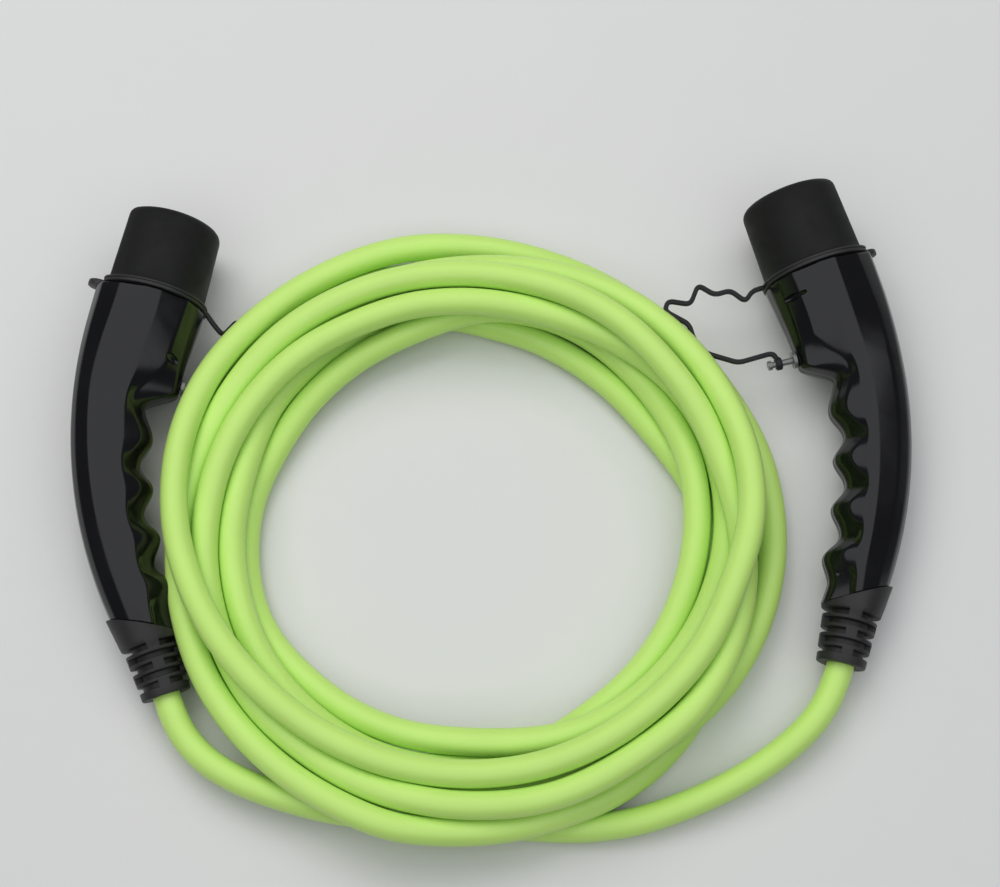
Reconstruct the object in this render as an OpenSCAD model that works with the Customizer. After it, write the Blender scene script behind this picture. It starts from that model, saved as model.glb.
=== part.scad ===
// Charging cable for an electric vehicle: a coiled cable with a vehicle connector and a station plug.
// Both connectors lie on their sides, on the rim of the dust cap and on the boot.
// Connector frame: +Y along the nose, +X towards the fingers, Z across the handle, origin at its front.
// Object frame: +X from the vehicle connector to the station plug, +Y along the noses, floor at Z = 0.

/* [Nose] */
// Outer radius of the round nose
nose_r = 26.2; // [25:0.1:28]
// Distance from the nose axis to the flat of the nose
nose_flat = 22.3; // [20:0.1:24]
// Length of the nose in front of the handle
nose_len = 44; // [38:1:50]
// Wall of the nose in front of the handle
nose_wall = 3.4; // [2.8:0.1:4]
// How far the nose reaches back into the handle
nose_seat = 13; // [12:0.5:15]
// Step from the nose down to its seat in the handle
seat_step = 0.8; // [0.5:0.1:1.2]

/* [Dust cap] */
// Clearance between the dust cap and the nose
cap_gap = 0.3; // [0.2:0.05:0.5]
// Wall of the dust cap at its open end
cap_wall = 2.3; // [1.8:0.1:3]
// How much the dust cap narrows to its closed end, on the radius
cap_draft = 1.0; // [0.2:0.1:1.2]
// Thickness of the closed end
cap_end = 3; // [2:0.5:5]
// Rounding of the closed end
cap_round = 5; // [3:0.5:8]
// How far the flange stands out of the dust cap
flange_out = 2.5; // [1.5:0.1:4]
// Thickness of the flange
flange_t = 3.2; // [2:0.1:5]
// Radius of the pull tab
tab_r = 6.5; // [4:0.5:8]

/* [Handle] */
// Radius of the bent back of the handle
back_r = 250; // [220:5:300]
// Length of the straight back behind the nose
back_straight = 20; // [18:1:24]
// Distance from the nose axis to the back of the handle
back_off = 30.5; // [29.5:0.5:33]
// Depth of the handle's head, from back to fingers
head_t = 61; // [60:0.5:64]
// Half the width of the head, across the parting plane
head_h = 30; // [29.5:0.5:32]
// Depth of the grip at the first finger
grip_t = 41.5; // [38:0.5:46]
// Half the width of the grip
grip_h = 18.5; // [17:0.5:21]
// Depth that the grip loses for each millimetre of length
grip_taper = 0.062; // [0.03:0.001:0.08]
// Depth of the finger waves
wave = 6.4; // [3:0.1:8]
// Length of a finger wave along the back
wave_pitch = 32.2; // [28:0.1:34]
// Wall of the handle shells
shell_wall = 2.8; // [2.2:0.1:3.5]

/* [Boot] */
// Angle of the boot to the nose axis
boot_angle = 32; // [28:1:36]
// Length of the boot outside the handle, on its axis
boot_len = 38.4; // [36:0.1:44]
// Radius of the boot at the cable
boot_r = 13.3; // [12:0.1:15]
// Radius of the boot's skirt at the handle
skirt_r = 19.2; // [18.5:0.1:21]
// Distance from one ring of slots to the next
slot_pitch = 5.2; // [4.8:0.1:5.6]
// Width of a slot
slot_w = 3.2; // [2:0.1:3.8]
// Width of the webs between slots
web_w = 6; // [4:0.5:8]
// Radius of the boot's neck inside the handle
neck_r = 10.5; // [10:0.1:11.5]

/* [Cable] */
// Diameter of the cable
cable_d = 15; // [13:0.5:16]
// Clearance round the cable in the boot and the clamp
cable_gap = 0.15; // [0.1:0.05:0.4]
// Radius of the innermost turn of the coil
coil_in = 120; // [110:1:130]
// Radius of the outermost turn of the coil
coil_out = 161.5; // [150:0.5:162]
// Height of the coil in layers of cable
coil_layers = 1.87; // [1.8:0.01:2]

/* [Contacts] */
// Diameter of a power contact
power_d = 6; // [5:0.1:7]
// Diameter of a signal contact
signal_d = 3; // [2:0.1:3.5]
// Distance between neighbouring power contacts in the middle row
power_pitch = 15; // [14.5:0.1:15.5]
// Radius of the sleeve round a power contact
power_sleeve = 5; // [4.9:0.1:5.4]
// Radius of the sleeve round a signal contact
signal_sleeve = 3.3; // [3:0.1:3.6]
// Clearance between pieces that are pushed together
fit_gap = 0.1; // [0.05:0.01:0.2]

/* [Placing] */
// Vehicle connector: place of its front, to the left of the middle
vehicle_x = -187; // [-220:0.1:-180]
// Vehicle connector: place of its front, up the picture
vehicle_y = 75; // [60:0.1:110]
// Vehicle connector: how far its nose leans to the right
vehicle_yaw = 12.5; // [5:0.5:25]
// Vehicle connector: how far its back is turned up
vehicle_roll = 12; // [0:0.5:14]
// Station plug: place of its front, to the right of the middle
station_x = 184; // [170:0.1:210]
// Station plug: place of its front, up the picture
station_y = 91.7; // [70:0.1:120]
// Station plug: how far its nose leans to the left
station_yaw = 18.5; // [5:0.5:25]
// Station plug: how far its fingers are turned up
station_roll = 0; // [0:0.5:6]
// Coil: place of its middle, to the right
coil_x = -5.5; // [-15:0.1:5]
// Coil: place of its middle, up the picture
coil_y = -49; // [-60:0.1:-40]

/* [Hidden] */
$fn = 64;
far = 400;
skin = 0.02;

// Nose and what fits in it
bore_r = nose_r - nose_wall;
bore_flat = nose_flat - nose_wall;
seat_r = nose_r - seat_step;
seat_flat = nose_flat - seat_step;
nose_lip_r = seat_r + 1.6;
nose_lip_y = 10.5;
nose_lip_t = 3;
nose_recess = 6;
seal_t = 1.6;
block_back = nose_seat + 0.2;
block_front = nose_len - nose_recess;
tower_root = 22;
well_depth = 24;
contact_front = block_front - 2;
lip_bore_gap = 0.1;
barrel_r = 3.6;
barrel_len = 11;
barrel_bore = 2.35;
signal_barrel_r = 1.9;
signal_barrel_bore = 1.15;
retainer_t = 3;
retainer_r = power_pitch + barrel_r + 1.3;
// Places of the contacts across the nose, in X and Z: power, unused power, signal
POWER = [[0, 0], [0, power_pitch], [0, -power_pitch]];
UNUSED = [[13.5, 8], [13.5, -8]];
SIGNAL = [[-12, 6.5], [-12, -6.5]];
// Cores of the cable, and their places in the bundle: in from the back, and over the parting plane
core_r = 2.2;
signal_core_r = 1;
bundle_w = 21.5;
bundle_lean = 0.02;
BUNDLE = [[3.5, 0], [-1.2, 3.3], [-1.2, -3.3], [-5, 1.3], [-5, -1.3]];

// Dust cap
cap_in_r = nose_r + cap_gap;
cap_in_flat = nose_flat + cap_gap;
cap_r = cap_in_r + cap_wall;
cap_flat = cap_in_flat + cap_wall;
cap_len = nose_len + cap_gap + cap_end;
flange_r = cap_r + flange_out;
flange_flat = cap_flat + flange_out;

// Handle: places along the back are measured from its front
bend = [back_r - back_off, -back_straight];
first_finger = 90.2;
last_trough = first_finger + 3.5 * wave_pitch;
chin_from = 56.5;
chin_to = 69;
head_taper = 65;
back_end = 191;
finger_end = 214.6;
skew_from = 130;
grip_wall_to = 184;
plug_from = 193;
plug_wall = 8.6;
nose_wall_s = 7;
STATIONS = concat(
    [0, 7, 14.2, 18, 24, 31, 38, 44],
    [for (s = [50:3.2:63]) s],
    [for (s = [68:6.2:180]) s],
    [185, 193, 198, 204, 209, finger_end]
);

// Boot and the cable in it
cable_r = cable_d / 2;
boot_neck_end = 59;
neck_lip_b = 52;
neck_lip_t = 3;
neck_lip_r = neck_r + 2.4;
slot_floor = cable_r + 3.4;
slot_first = 4.6;
slot_rows = 5;
skirt_from = slot_first + slot_rows * slot_pitch - 1;
clamp_b = 61;
clamp_t = 10;
clamp_turn = -90;
clamp_w = cable_r + 4.3;
clamp_h = cable_r + 2.1;
clamp_corner_r = clamp_w + 0.3;
clamp_screw_x = cable_r + 2.3;
clamp_head_r = 2;
clamp_head_t = 1.8;
jacket_end_b = 75;

// Screws
screw_r = 1.5;
screw_head_r = 2.8;
screw_head_t = 2.4;
screw_seat = 8;
screw_reach = 9;
boss_r = 3.8;
seat_boss_r = 4.6;
// Places of the shell screws: along the back, and in from the back
SHELL_SCREWS = [[40, 9], [98, 9.5], [150, 8.5]];
// The stretch of the handle that holds the bosses
boss_from = 30;
boss_to = 162;

// Tether and its pin, in the parting plane of the handle
pin_r = 1.8;
pin_s = 49.5;
pin_angle = 5;
pin_out = 15;
pin_flange_r = 4.6;
pin_flange_t = 1.8;
pin_knob_r = 2.6;
pin_barb_r = 2.7;
eyelet_r = 3.6;
eyelet_t = 3.4;
tether_w = 2.6;
tether_t = 3;
tether_lift = 9.5;
tether_y = 2;
tether_bend = 3;
// Bends of the tether, from the flange to the pin
TETHER = [[38, 1], [45, -7], [52, 5], [60, 12], [68, 3], [80, 8], [74, -10], [74, -27], [60, -35.5]];

// Coil
coil_h = coil_layers * cable_d;
coil_round = 7;
coil_step = 13;
// Routes of the cable outside the connectors, from the boot to the coil
TAIL_VEHICLE = [[-167, -156, 12], [-158, -167, 9.5], [-146, -177, 8], [-131, -186, 7.6],
    [-113, -193, 7.6], [-92, -199, 7.6], [-68, -204, 7.6], [-45, -202, 7.6]];
TAIL_STATION = [[184, -139, 13.5], [175, -153, 10.5], [161, -167, 8.5], [144, -179, 7.6],
    [124, -190, 7.6], [101, -199, 7.6], [77, -206, 7.6], [51, -210, 7.6], [25, -210, 7.6],
    [3, -206, 7.6]];

function mix(a, b, f) = a + (b - a) * f;
function ease(x) = x <= 0 ? 0 : x >= 1 ? 1 : x * x * (3 - 2 * x);
function bend_angle(s) = (s - back_straight) / back_r * 180 / PI;

// A point at a depth in from the back, at a place along the back
function at(s, w) = s < back_straight
    ? [w - back_off, -s]
    : bend - (back_r - w) * [cos(bend_angle(s)), sin(bend_angle(s))];

function finger_wave(s) = s > last_trough ? -1
    : s > first_finger ? cos(360 * (s - first_finger) / wave_pitch)
    : s > first_finger - 25 ? cos(180 * (s - first_finger) / 25)
    : -1;
function grip_depth(s) = grip_t - grip_taper * (s - 80) + wave / 2 * finger_wave(s);
function head_depth(s) = head_t - 0.075 * s;
function depth(s) = mix(head_depth(s), grip_depth(s), ease((s - chin_from) / (chin_to - chin_from)));
function half_width(s) = mix(head_h, grip_h, ease(s / head_taper));
function skew(s) = s < skew_from ? 0
    : (finger_end - back_end) * pow((s - skew_from) / (finger_end - skew_from), 2);
function wall_at(s) = s < 15 ? nose_wall_s
    : s < grip_wall_to ? mix(nose_wall_s, shell_wall, ease((s - 15) / 9))
    : mix(shell_wall, plug_wall, ease((s - grip_wall_to) / (plug_from - grip_wall_to)));

// Half of the handle's outline at a station: depth from the back and height over the parting plane
function half_outline(s, t) = let (
    h = half_width(s),
    m = (h - grip_h) / (head_h - grip_h)
) [
    [0, 0],
    [0, h * mix(0.24, 0.3, m)],
    [mix(2.5, 3, m), h * mix(0.5, 0.55, m)],
    [mix(9, 9.5, m), h * mix(0.77, 0.78, m)],
    [t * mix(0.55, 0.44, m), h],
    [t * mix(0.65, 0.56, m), h],
    [t - mix(7, 11, m), h * mix(0.77, 0.78, m)],
    [t - mix(2.5, 4, m), h * mix(0.48, 0.5, m)],
    [t - mix(0, 0.5, m), h * 0.22],
    [t, 0]
];

// One ring of a shell: the outline, then the inside of the wall on the way back
function shell_ring(s, hollow) = let (
    a = at(s - skew(s), 0),
    b = at(s, depth(s)),
    t = norm(b - a),
    e = (b - a) / t,
    h = half_width(s),
    wall = wall_at(s),
    outline = half_outline(s, t),
    n = len(outline),
    inside = [for (i = [n - 1:-1:0])
        [wall + outline[i].x * (t - 2 * wall) / t, outline[i].y * (h - wall) / h]]
) [for (q = hollow ? concat(outline, inside) : outline) [a.x + e.x * q.x, a.y + e.y * q.x, q.y]];

// The rear face of the handle, where the boot's axis leaves it
rear_back = at(back_end, 0);
rear_front = at(finger_end, depth(finger_end));
rear_mid = (rear_back + rear_front) / 2;
rear_angle = atan2(rear_front.y - rear_back.y, rear_front.x - rear_back.x);
boot_dir = [sin(boot_angle), -cos(boot_angle)];
mouth = rear_mid + boot_len * boot_dir;

// The connectors rest on the flange of the dust cap and on the handle; lean is how far the fingers are up
function rest_pitch(lean) = min([for (s = STATIONS) if (s >= head_taper) for (p = shell_ring(s, false))
    atan((flange_r + p.x * sin(lean) - p.z * cos(lean)) / (cap_gap - p.y))]);
vehicle_pitch = rest_pitch(-vehicle_roll);
station_pitch = rest_pitch(station_roll);
function axis_height(pitch) = flange_r * cos(pitch) - cap_gap * sin(pitch);

// Sweeps a closed ring of points through its stations
module sweep_rings(rings, split) {
    n = len(rings[0]);
    last = len(rings) - 1;
    half = n / 2;
    sides = [for (i = [0:last - 1]) for (j = [0:n - 1])
        [i * n + j, i * n + (j + 1) % n, (i + 1) * n + (j + 1) % n, (i + 1) * n + j]];
    ends = split
        ? concat(
            [for (j = [0:half - 2]) [j, n - 1 - j, n - 2 - j, j + 1]],
            [for (j = [0:half - 2]) [last * n + j, last * n + j + 1, last * n + n - 2 - j, last * n + n - 1 - j]])
        : [[for (j = [n - 1:-1:0]) j], [for (j = [0:n - 1]) last * n + j]];
    polyhedron(points = [for (r = rings) for (p = r) p], faces = concat(sides, ends), convexity = 8);
}

// A round tube along a route that lies nearly level
module tube(route, r, sides) {
    last = len(route) - 1;
    rings = [for (i = [0:last]) let (
        t = unit(unit(route[min(i + 1, last)] - route[i]) + unit(route[i] - route[max(i - 1, 0)])),
        side = unit(cross(t, [0, 0, 1])),
        up = cross(side, t)
    ) [for (k = [0:sides - 1]) route[i] + r * (cos(360 * k / sides) * side + sin(360 * k / sides) * up)]];
    sweep_rings(rings, false);
}

function unit(v) = norm(v) == 0 ? 0 * v : v / norm(v);

// Turns a shape drawn upwards so that it runs along the nose
module along_nose(y) {
    translate([0, y, 0]) rotate([-90, 0, 0]) children();
}

// Outline of the nose: a circle with a flat on the back's side
module d_shape(r, flat) {
    intersection() {
        circle(r);
        translate([-flat, -r]) square([flat + r, 2 * r]);
    }
}

module d_prism(r, flat, y, len) {
    along_nose(y) linear_extrude(len) d_shape(r, flat);
}

module at_contacts(places, y) {
    for (p = places) translate([p.x, 0, p.y]) along_nose(y) children();
}

// The boot's frame: Z runs from the mouth up into the handle, X towards the fingers
module at_boot(b) {
    translate([mouth.x, mouth.y, 0]) rotate([0, 0, boot_angle]) rotate([-90, 0, 0])
        translate([0, 0, b]) children();
}

// The pin's frame: Z points out of the handle
module at_pin() {
    p = at(pin_s, depth(pin_s));
    translate([p.x + 0.3, p.y, 0]) rotate([0, 90, pin_angle]) children();
}

module at_shell_screws() {
    for (q = SHELL_SCREWS) translate(concat(at(q.x, q.y), 0)) children();
}

// Dust cap: a rubber cup with a flange and a pull tab, which slides off along the nose
module cap() {
    color("#2c2c2d") difference() {
        union() {
            intersection() {
                d_prism(cap_r, cap_flat, cap_gap, cap_len);
                along_nose(cap_gap) rotate_extrude() polygon(concat(
                    [[0, 0], [cap_r, 0]],
                    [for (a = [0:15:90]) [cap_r - cap_draft - cap_round * (1 - cos(a)),
                        cap_len - cap_round * (1 - sin(a))]],
                    [[0, cap_len]]));
            }
            d_prism(flange_r, flange_flat, cap_gap, flange_t);
            translate([-flange_flat, 0, 0]) along_nose(cap_gap) cylinder(r = tab_r, h = flange_t);
        }
        d_prism(cap_in_r, cap_in_flat, -1, nose_len + cap_gap + 1);
    }
}

// A route with each of its corners rounded
function rounded(pts, cut) = concat([pts[0]],
    [for (i = [1:len(pts) - 2]) let (
        a = pts[i] + cut * unit(pts[i - 1] - pts[i]),
        b = pts[i] + cut * unit(pts[i + 1] - pts[i])
    ) for (f = [0, 0.5, 1]) (1 - f) * (1 - f) * a + 2 * f * (1 - f) * pts[i] + f * f * b],
    [pts[len(pts) - 1]]);

// Outline of a strip of even width along a route
function strip(pts, w) = let (
    last = len(pts) - 1,
    across = [for (i = [0:last]) let (
        t = unit(unit(pts[min(i + 1, last)] - pts[i]) + unit(pts[i] - pts[max(i - 1, 0)]))
    ) w / 2 * [-t.y, t.x]]
) concat([for (i = [0:last]) pts[i] + across[i]], [for (i = [last:-1:0]) pts[i] - across[i]]);

// The tether's plane rises from the flange, over the coil
module tether_place(lift) {
    translate([flange_r, tether_y, 0]) rotate([0, -lift, 0]) translate([-flange_r, -tether_y, 0])
        translate([0, 0, -tether_t / 2]) linear_extrude(tether_t) children();
}

// Tether: a zigzag rubber strip from the flange to an eyelet on the pin, lifted towards +Z
module tether(lift) {
    eyelet_at = at(pin_s, depth(pin_s)) + [pin_out - 5, (pin_out - 5) * tan(pin_angle)];
    pts = rounded(concat([[flange_r + tether_w / 2 + fit_gap, tether_y]], TETHER,
        [eyelet_at + [1.5, eyelet_r + 3], eyelet_at + [0, eyelet_r - 1]]), tether_bend);
    color("#3a3a3b") difference() {
        union() {
            tether_place(lift) polygon(strip(pts, tether_w));
            at_pin() translate([0, 0, pin_out - 5 - eyelet_t / 2]) cylinder(r = eyelet_r, h = eyelet_t);
        }
        at_pin() translate([0, 0, -1]) cylinder(r = pin_r + fit_gap, h = pin_out + 2);
    }
}

// Tether pin: flange and barb hold it in the handle, the knob holds the eyelet
module tether_pin() {
    color("#b9bab8") at_pin() {
        translate([0, 0, -shell_wall - 3.5]) cylinder(r = pin_r, h = pin_out + shell_wall + 3.5);
        cylinder(r = pin_flange_r, h = pin_flange_t);
        translate([0, 0, pin_out - 1]) cylinder(r = pin_knob_r, h = 2);
        translate([0, 0, -shell_wall - 4.5]) cylinder(r1 = pin_r * 0.6, r2 = pin_barb_r, h = 3);
    }
}

// One half of the handle, over the parting plane; under is true for the half that takes the screws
module shell_half(under) {
    sink = under ? seat_boss_r : boss_r;
    difference() {
        union() {
            sweep_rings([for (s = STATIONS) shell_ring(s, true)], true);
            intersection() {
                sweep_rings([for (s = STATIONS) if (s >= boss_from && s <= boss_to) shell_ring(s, false)], false);
                at_shell_screws() cylinder(r = sink, h = head_h);
            }
        }
        d_prism(seat_r + fit_gap, seat_flat + fit_gap, -nose_seat - seal_t, far);
        along_nose(-nose_lip_y - fit_gap) cylinder(r = nose_lip_r + fit_gap, h = nose_lip_t + 2 * fit_gap);
        at_boot(boot_len - 20) cylinder(r = neck_r + fit_gap, h = boot_neck_end - boot_len + 21);
        at_boot(neck_lip_b - fit_gap) cylinder(r = neck_lip_r + fit_gap, h = neck_lip_t + 2 * fit_gap);
        at_boot(clamp_b) rotate([0, 0, clamp_turn]) {
            translate([0, 0, -fit_gap]) cylinder(r = clamp_corner_r + fit_gap, h = clamp_t + 2 * fit_gap);
            at_clamp_screws() translate([0, 0, -clamp_h - fit_gap])
                cylinder(r = clamp_head_r + 2 * fit_gap, h = 2 * (clamp_h + fit_gap));
        }
        at_pin() translate([0, 0, -12]) cylinder(r = pin_r + fit_gap, h = 20);
        if (under) {
            at_shell_screws() {
                translate([0, 0, -1]) cylinder(r = screw_r + 2 * fit_gap, h = far);
                translate([0, 0, screw_seat]) cylinder(r = screw_head_r + 0.3, h = far);
            }
        } else {
            at_shell_screws() translate([0, 0, -1]) cylinder(r = screw_r + skin, h = screw_reach + 2);
        }
    }
}

// Side is 1 for the half on +Z and -1 for the half on -Z
module shell(side, under) {
    color("#1d1d20") mirror([0, 0, side < 0 ? 1 : 0]) shell_half(under);
}

// Nose: the outer sleeve of the connector, held in the shells by its rim
module nose() {
    color("#1a1a1c") difference() {
        union() {
            d_prism(nose_r, nose_flat, 0, nose_len);
            d_prism(seat_r, seat_flat, -nose_seat, nose_seat + 1);
            along_nose(-nose_lip_y) linear_extrude(nose_lip_t) d_shape(nose_lip_r, seat_flat + 1);
        }
        d_prism(bore_r, bore_flat, -nose_seat - 1, nose_len + nose_seat + 2);
    }
}

// Flat gasket between the back of the nose and the shoulder in the shells
module nose_seal() {
    color("#3b3b3d") difference() {
        d_prism(seat_r - 0.2, seat_flat - 0.2, -nose_seat - seal_t, seal_t);
        d_prism(bore_r, bore_flat, -nose_seat - seal_t - 1, seal_t + 2);
    }
}

module block_body(front) {
    d_prism(bore_r - fit_gap, bore_flat - fit_gap, -block_back, block_back + front);
}

// Vehicle side: bores for the sockets, open to the front
module socket_bores() {
    at_contacts(POWER, -block_back - 1) cylinder(r = socket_r(power_d) + fit_gap, h = contact_front + block_back + 1);
    at_contacts(concat(POWER, UNUSED), 4) cylinder(r = power_d / 2 + lip_bore_gap, h = nose_len);
    at_contacts(SIGNAL, -block_back - 1) cylinder(r = socket_r(signal_d) + fit_gap, h = contact_front + block_back + 1);
    at_contacts(SIGNAL, 4) cylinder(r = signal_d / 2 + lip_bore_gap, h = nose_len);
}

module socket_block() {
    color("#232326") difference() {
        block_body(tower_root);
        socket_bores();
    }
}

// Vehicle side: the contacts sit in separate towers on the front of the block
module socket_towers() {
    color("#232326") difference() {
        union() {
            at_contacts(concat(POWER, UNUSED), tower_root) cylinder(r = power_sleeve, h = block_front - tower_root);
            at_contacts(SIGNAL, tower_root) cylinder(r = signal_sleeve, h = block_front - tower_root);
        }
        socket_bores();
    }
}

function socket_r(d) = d / 2 + (d > 4 ? 1.2 : 0.8);

// Station side: each contact pin stands in a well of its own
module pin_block() {
    color("#232326") difference() {
        block_body(block_front);
        at_contacts(concat(POWER, UNUSED), block_front - well_depth) cylinder(r = power_sleeve, h = nose_len);
        at_contacts(SIGNAL, block_front - well_depth) cylinder(r = signal_sleeve, h = nose_len);
        at_contacts(POWER, -block_back - 1) cylinder(r = power_d / 2 + fit_gap, h = nose_len);
        at_contacts(SIGNAL, -block_back - 1) cylinder(r = signal_d / 2 + fit_gap, h = nose_len);
    }
}

// Crimp barrel behind a contact
module barrel(r, bore) {
    translate([0, 0, -barrel_len]) difference() {
        cylinder(r = r, h = barrel_len);
        translate([0, 0, -1]) cylinder(r = bore, h = barrel_len - 2);
    }
}

module sockets(places, d, r, bore) {
    color("#c9ccd0") at_contacts(places, -block_back) {
        difference() {
            cylinder(r = socket_r(d), h = contact_front + block_back - fit_gap);
            translate([0, 0, block_back + 6]) cylinder(r = d / 2, h = nose_len);
        }
        barrel(r, bore);
    }
}

module pins(places, d, r, bore) {
    color("#c9ccd0") at_contacts(places, -block_back) {
        cylinder(r = d / 2, h = contact_front + block_back - 1);
        translate([0, 0, contact_front + block_back - 1]) cylinder(r1 = d / 2, r2 = d / 2 - 0.8, h = 1);
        barrel(r, bore);
    }
}

// Plate behind the contact block, with the crimp barrels through it
module contact_retainer() {
    color("#3c4147") difference() {
        d_prism(retainer_r, bore_flat - 1, -block_back - retainer_t, retainer_t);
        at_contacts(POWER, -block_back - retainer_t - 1) cylinder(r = barrel_r + fit_gap, h = retainer_t + 2);
        at_contacts(SIGNAL, -block_back - retainer_t - 1) cylinder(r = signal_barrel_r + fit_gap, h = retainer_t + 2);
    }
}

// Resistor between a signal contact and earth that tells the car the cable's rating
module coding_resistor() {
    color("#c8b48a") translate([-6, -block_back - retainer_t - 2.2, 0]) rotate([0, 90, 90]) {
        translate([0, 0, -0.2]) cylinder(r = 2, h = 1.2);
        translate([0, 0, -0.2]) rotate([0, 0, 0]) cylinder(r = 1.1, h = 2.2);
    }
}

// Cores from the end of the jacket to the crimp barrels
module wires() {
    jacket = mouth - (jacket_end_b + 1) * boot_dir;
    places = concat(POWER, SIGNAL);
    for (i = [0:len(places) - 1]) {
        p = places[i];
        q = BUNDLE[i];
        big = i < len(POWER);
        start = [p.x, -block_back - barrel_len + 4, p.y];
        along = [for (s = [70:22:158]) concat(at(s, bundle_w - bundle_lean * (s - 70) + q.x), q.y)];
        finish = [jacket.x + cos(boot_angle) * q.x, jacket.y + sin(boot_angle) * q.x, q.y];
        color(big ? ["#4a7a3a", "#2f5fa8", "#6b4a2f"][i] : "#d8d8d4")
            tube(concat([start, start + [0, -9, 0]], along, [finish]), big ? core_r : signal_core_r, big ? 8 : 6);
    }
}

// Boot: strain relief with rings of slots that turn by a quarter from one to the next
module boot() {
    color("#3a3a3c") difference() {
        union() {
            difference() {
                at_boot(0) rotate_extrude() polygon([[0, 0], [boot_r - 0.8, 0], [boot_r, 0.8],
                    [boot_r + 1.6, skirt_from - 4], [boot_r + 3, skirt_from], [skirt_r, boot_len + 10],
                    [skirt_r, boot_len + 12], [0, boot_len + 12]]);
                translate([rear_mid.x, rear_mid.y, 0]) rotate([0, 0, rear_angle])
                    translate([-far / 2, fit_gap - 0.2, -far / 2]) cube([far, far, far]);
            }
            at_boot(boot_len - 12) cylinder(r = neck_r, h = boot_neck_end - boot_len + 12);
            at_boot(neck_lip_b) cylinder(r = neck_lip_r, h = neck_lip_t);
        }
        at_boot(-1) cylinder(r = cable_r + cable_gap, h = far);
        for (k = [0:slot_rows - 1]) at_boot(slot_first + k * slot_pitch) difference() {
            cylinder(r = far, h = slot_w);
            translate([0, 0, -1]) cylinder(r = slot_floor, h = slot_w + 2);
            rotate([0, 0, 90 * (k % 2)]) translate([-web_w / 2, -far, -1]) cube([web_w, 2 * far, slot_w + 2]);
        }
    }
}

// Clamp that grips the jacket inside the handle
module cable_clamp() {
    color("#55585c") at_boot(clamp_b) rotate([0, 0, clamp_turn]) difference() {
        intersection() {
            translate([-clamp_w, -clamp_h, 0]) cube([2 * clamp_w, 2 * clamp_h, clamp_t]);
            translate([0, 0, -1]) cylinder(r = clamp_corner_r, h = clamp_t + 2);
        }
        translate([0, 0, -1]) cylinder(r = cable_r + cable_gap, h = clamp_t + 2);
        at_clamp_screws() {
            translate([0, 0, -far / 2]) cylinder(r = screw_r + skin, h = far);
            translate([0, 0, clamp_h - clamp_head_t]) cylinder(r = clamp_head_r + fit_gap, h = far);
        }
    }
}

module at_clamp_screws() {
    for (x = [-clamp_screw_x, clamp_screw_x]) translate([x, 0, clamp_t / 2]) rotate([90, 0, 0]) children();
}

module clamp_screws() {
    color("#b4b7bb") at_boot(clamp_b) rotate([0, 0, clamp_turn]) at_clamp_screws() {
        translate([0, 0, 1 - clamp_h]) cylinder(r = screw_r, h = 2 * clamp_h - clamp_head_t - 1);
        translate([0, 0, clamp_h - clamp_head_t]) cylinder(r = clamp_head_r, h = clamp_head_t);
    }
}

// The shells' screws, with their heads on the side that faces the floor
module shell_screws(side) {
    color("#a9acb0") mirror([0, 0, side > 0 ? 1 : 0]) at_shell_screws() {
        translate([0, 0, -screw_seat]) cylinder(r = screw_r, h = screw_seat + screw_reach);
        difference() {
            translate([0, 0, -screw_seat - screw_head_t]) cylinder(r = screw_head_r, h = screw_head_t);
            translate([0, 0, -screw_seat - screw_head_t - 1]) cylinder(r = 1.3, h = 2.2, $fn = 6);
        }
    }
}

module place_vehicle() {
    translate([vehicle_x, vehicle_y, axis_height(vehicle_pitch)]) rotate([0, 0, -vehicle_yaw])
        rotate([vehicle_pitch, 0, 0]) rotate([0, vehicle_roll, 0]) children();
}

// The station plug is turned over, so that its fingers face the coil as well
module place_station() {
    translate([station_x, station_y, axis_height(station_pitch)]) rotate([0, 0, station_yaw])
        rotate([station_pitch, 0, 0]) rotate([0, 180 + station_roll, 0]) children();
}

// A point turned as the connectors are: rolled about its nose, pitched, then turned on the floor
function turned(p, roll, pitch, yaw) = let (
    x = p.x * cos(roll) + p.z * sin(roll),
    z = p.z * cos(roll) - p.x * sin(roll),
    q = [x, p.y * cos(pitch) - z * sin(pitch), p.y * sin(pitch) + z * cos(pitch)]
) [q.x * cos(yaw) - q.y * sin(yaw), q.x * sin(yaw) + q.y * cos(yaw), q.z];
function from_vehicle(p) = [vehicle_x, vehicle_y, axis_height(vehicle_pitch)]
    + turned(p, vehicle_roll, vehicle_pitch, -vehicle_yaw);
function from_station(p) = [station_x, station_y, axis_height(station_pitch)]
    + turned(p, 180 + station_roll, station_pitch, station_yaw);
function on_boot(b) = concat(mouth - b * boot_dir, 0);

// Coil: the outer shape of the turns
module cable_coil() {
    lo = coil_in - cable_r;
    hi = coil_out + cable_r;
    top = hi - coil_step;
    color("#9fd35f") translate([coil_x, coil_y, 0]) rotate_extrude($fn = 96)
        polygon(concat(
            [for (a = [180:22.5:270]) [lo + coil_round + coil_round * cos(a), coil_round + coil_round * sin(a)]],
            [for (a = [270:22.5:360]) [hi - coil_round + coil_round * cos(a), coil_round + coil_round * sin(a)]],
            [for (a = [0:22.5:90]) [top - coil_round + coil_round * cos(a), coil_h - coil_round + coil_round * sin(a)]],
            [for (a = [90:22.5:180]) [lo + coil_round + coil_round * cos(a), coil_h - coil_round + coil_round * sin(a)]]));
}

module cable_tail_vehicle() {
    color("#9fd35f") tube(concat([for (b = [jacket_end_b, 40, 0]) from_vehicle(on_boot(b))], TAIL_VEHICLE), cable_r, 12);
}

module cable_tail_station() {
    color("#9fd35f") tube(concat([for (b = [jacket_end_b, 40, 0]) from_station(on_boot(b))], TAIL_STATION), cable_r, 12);
}

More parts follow.
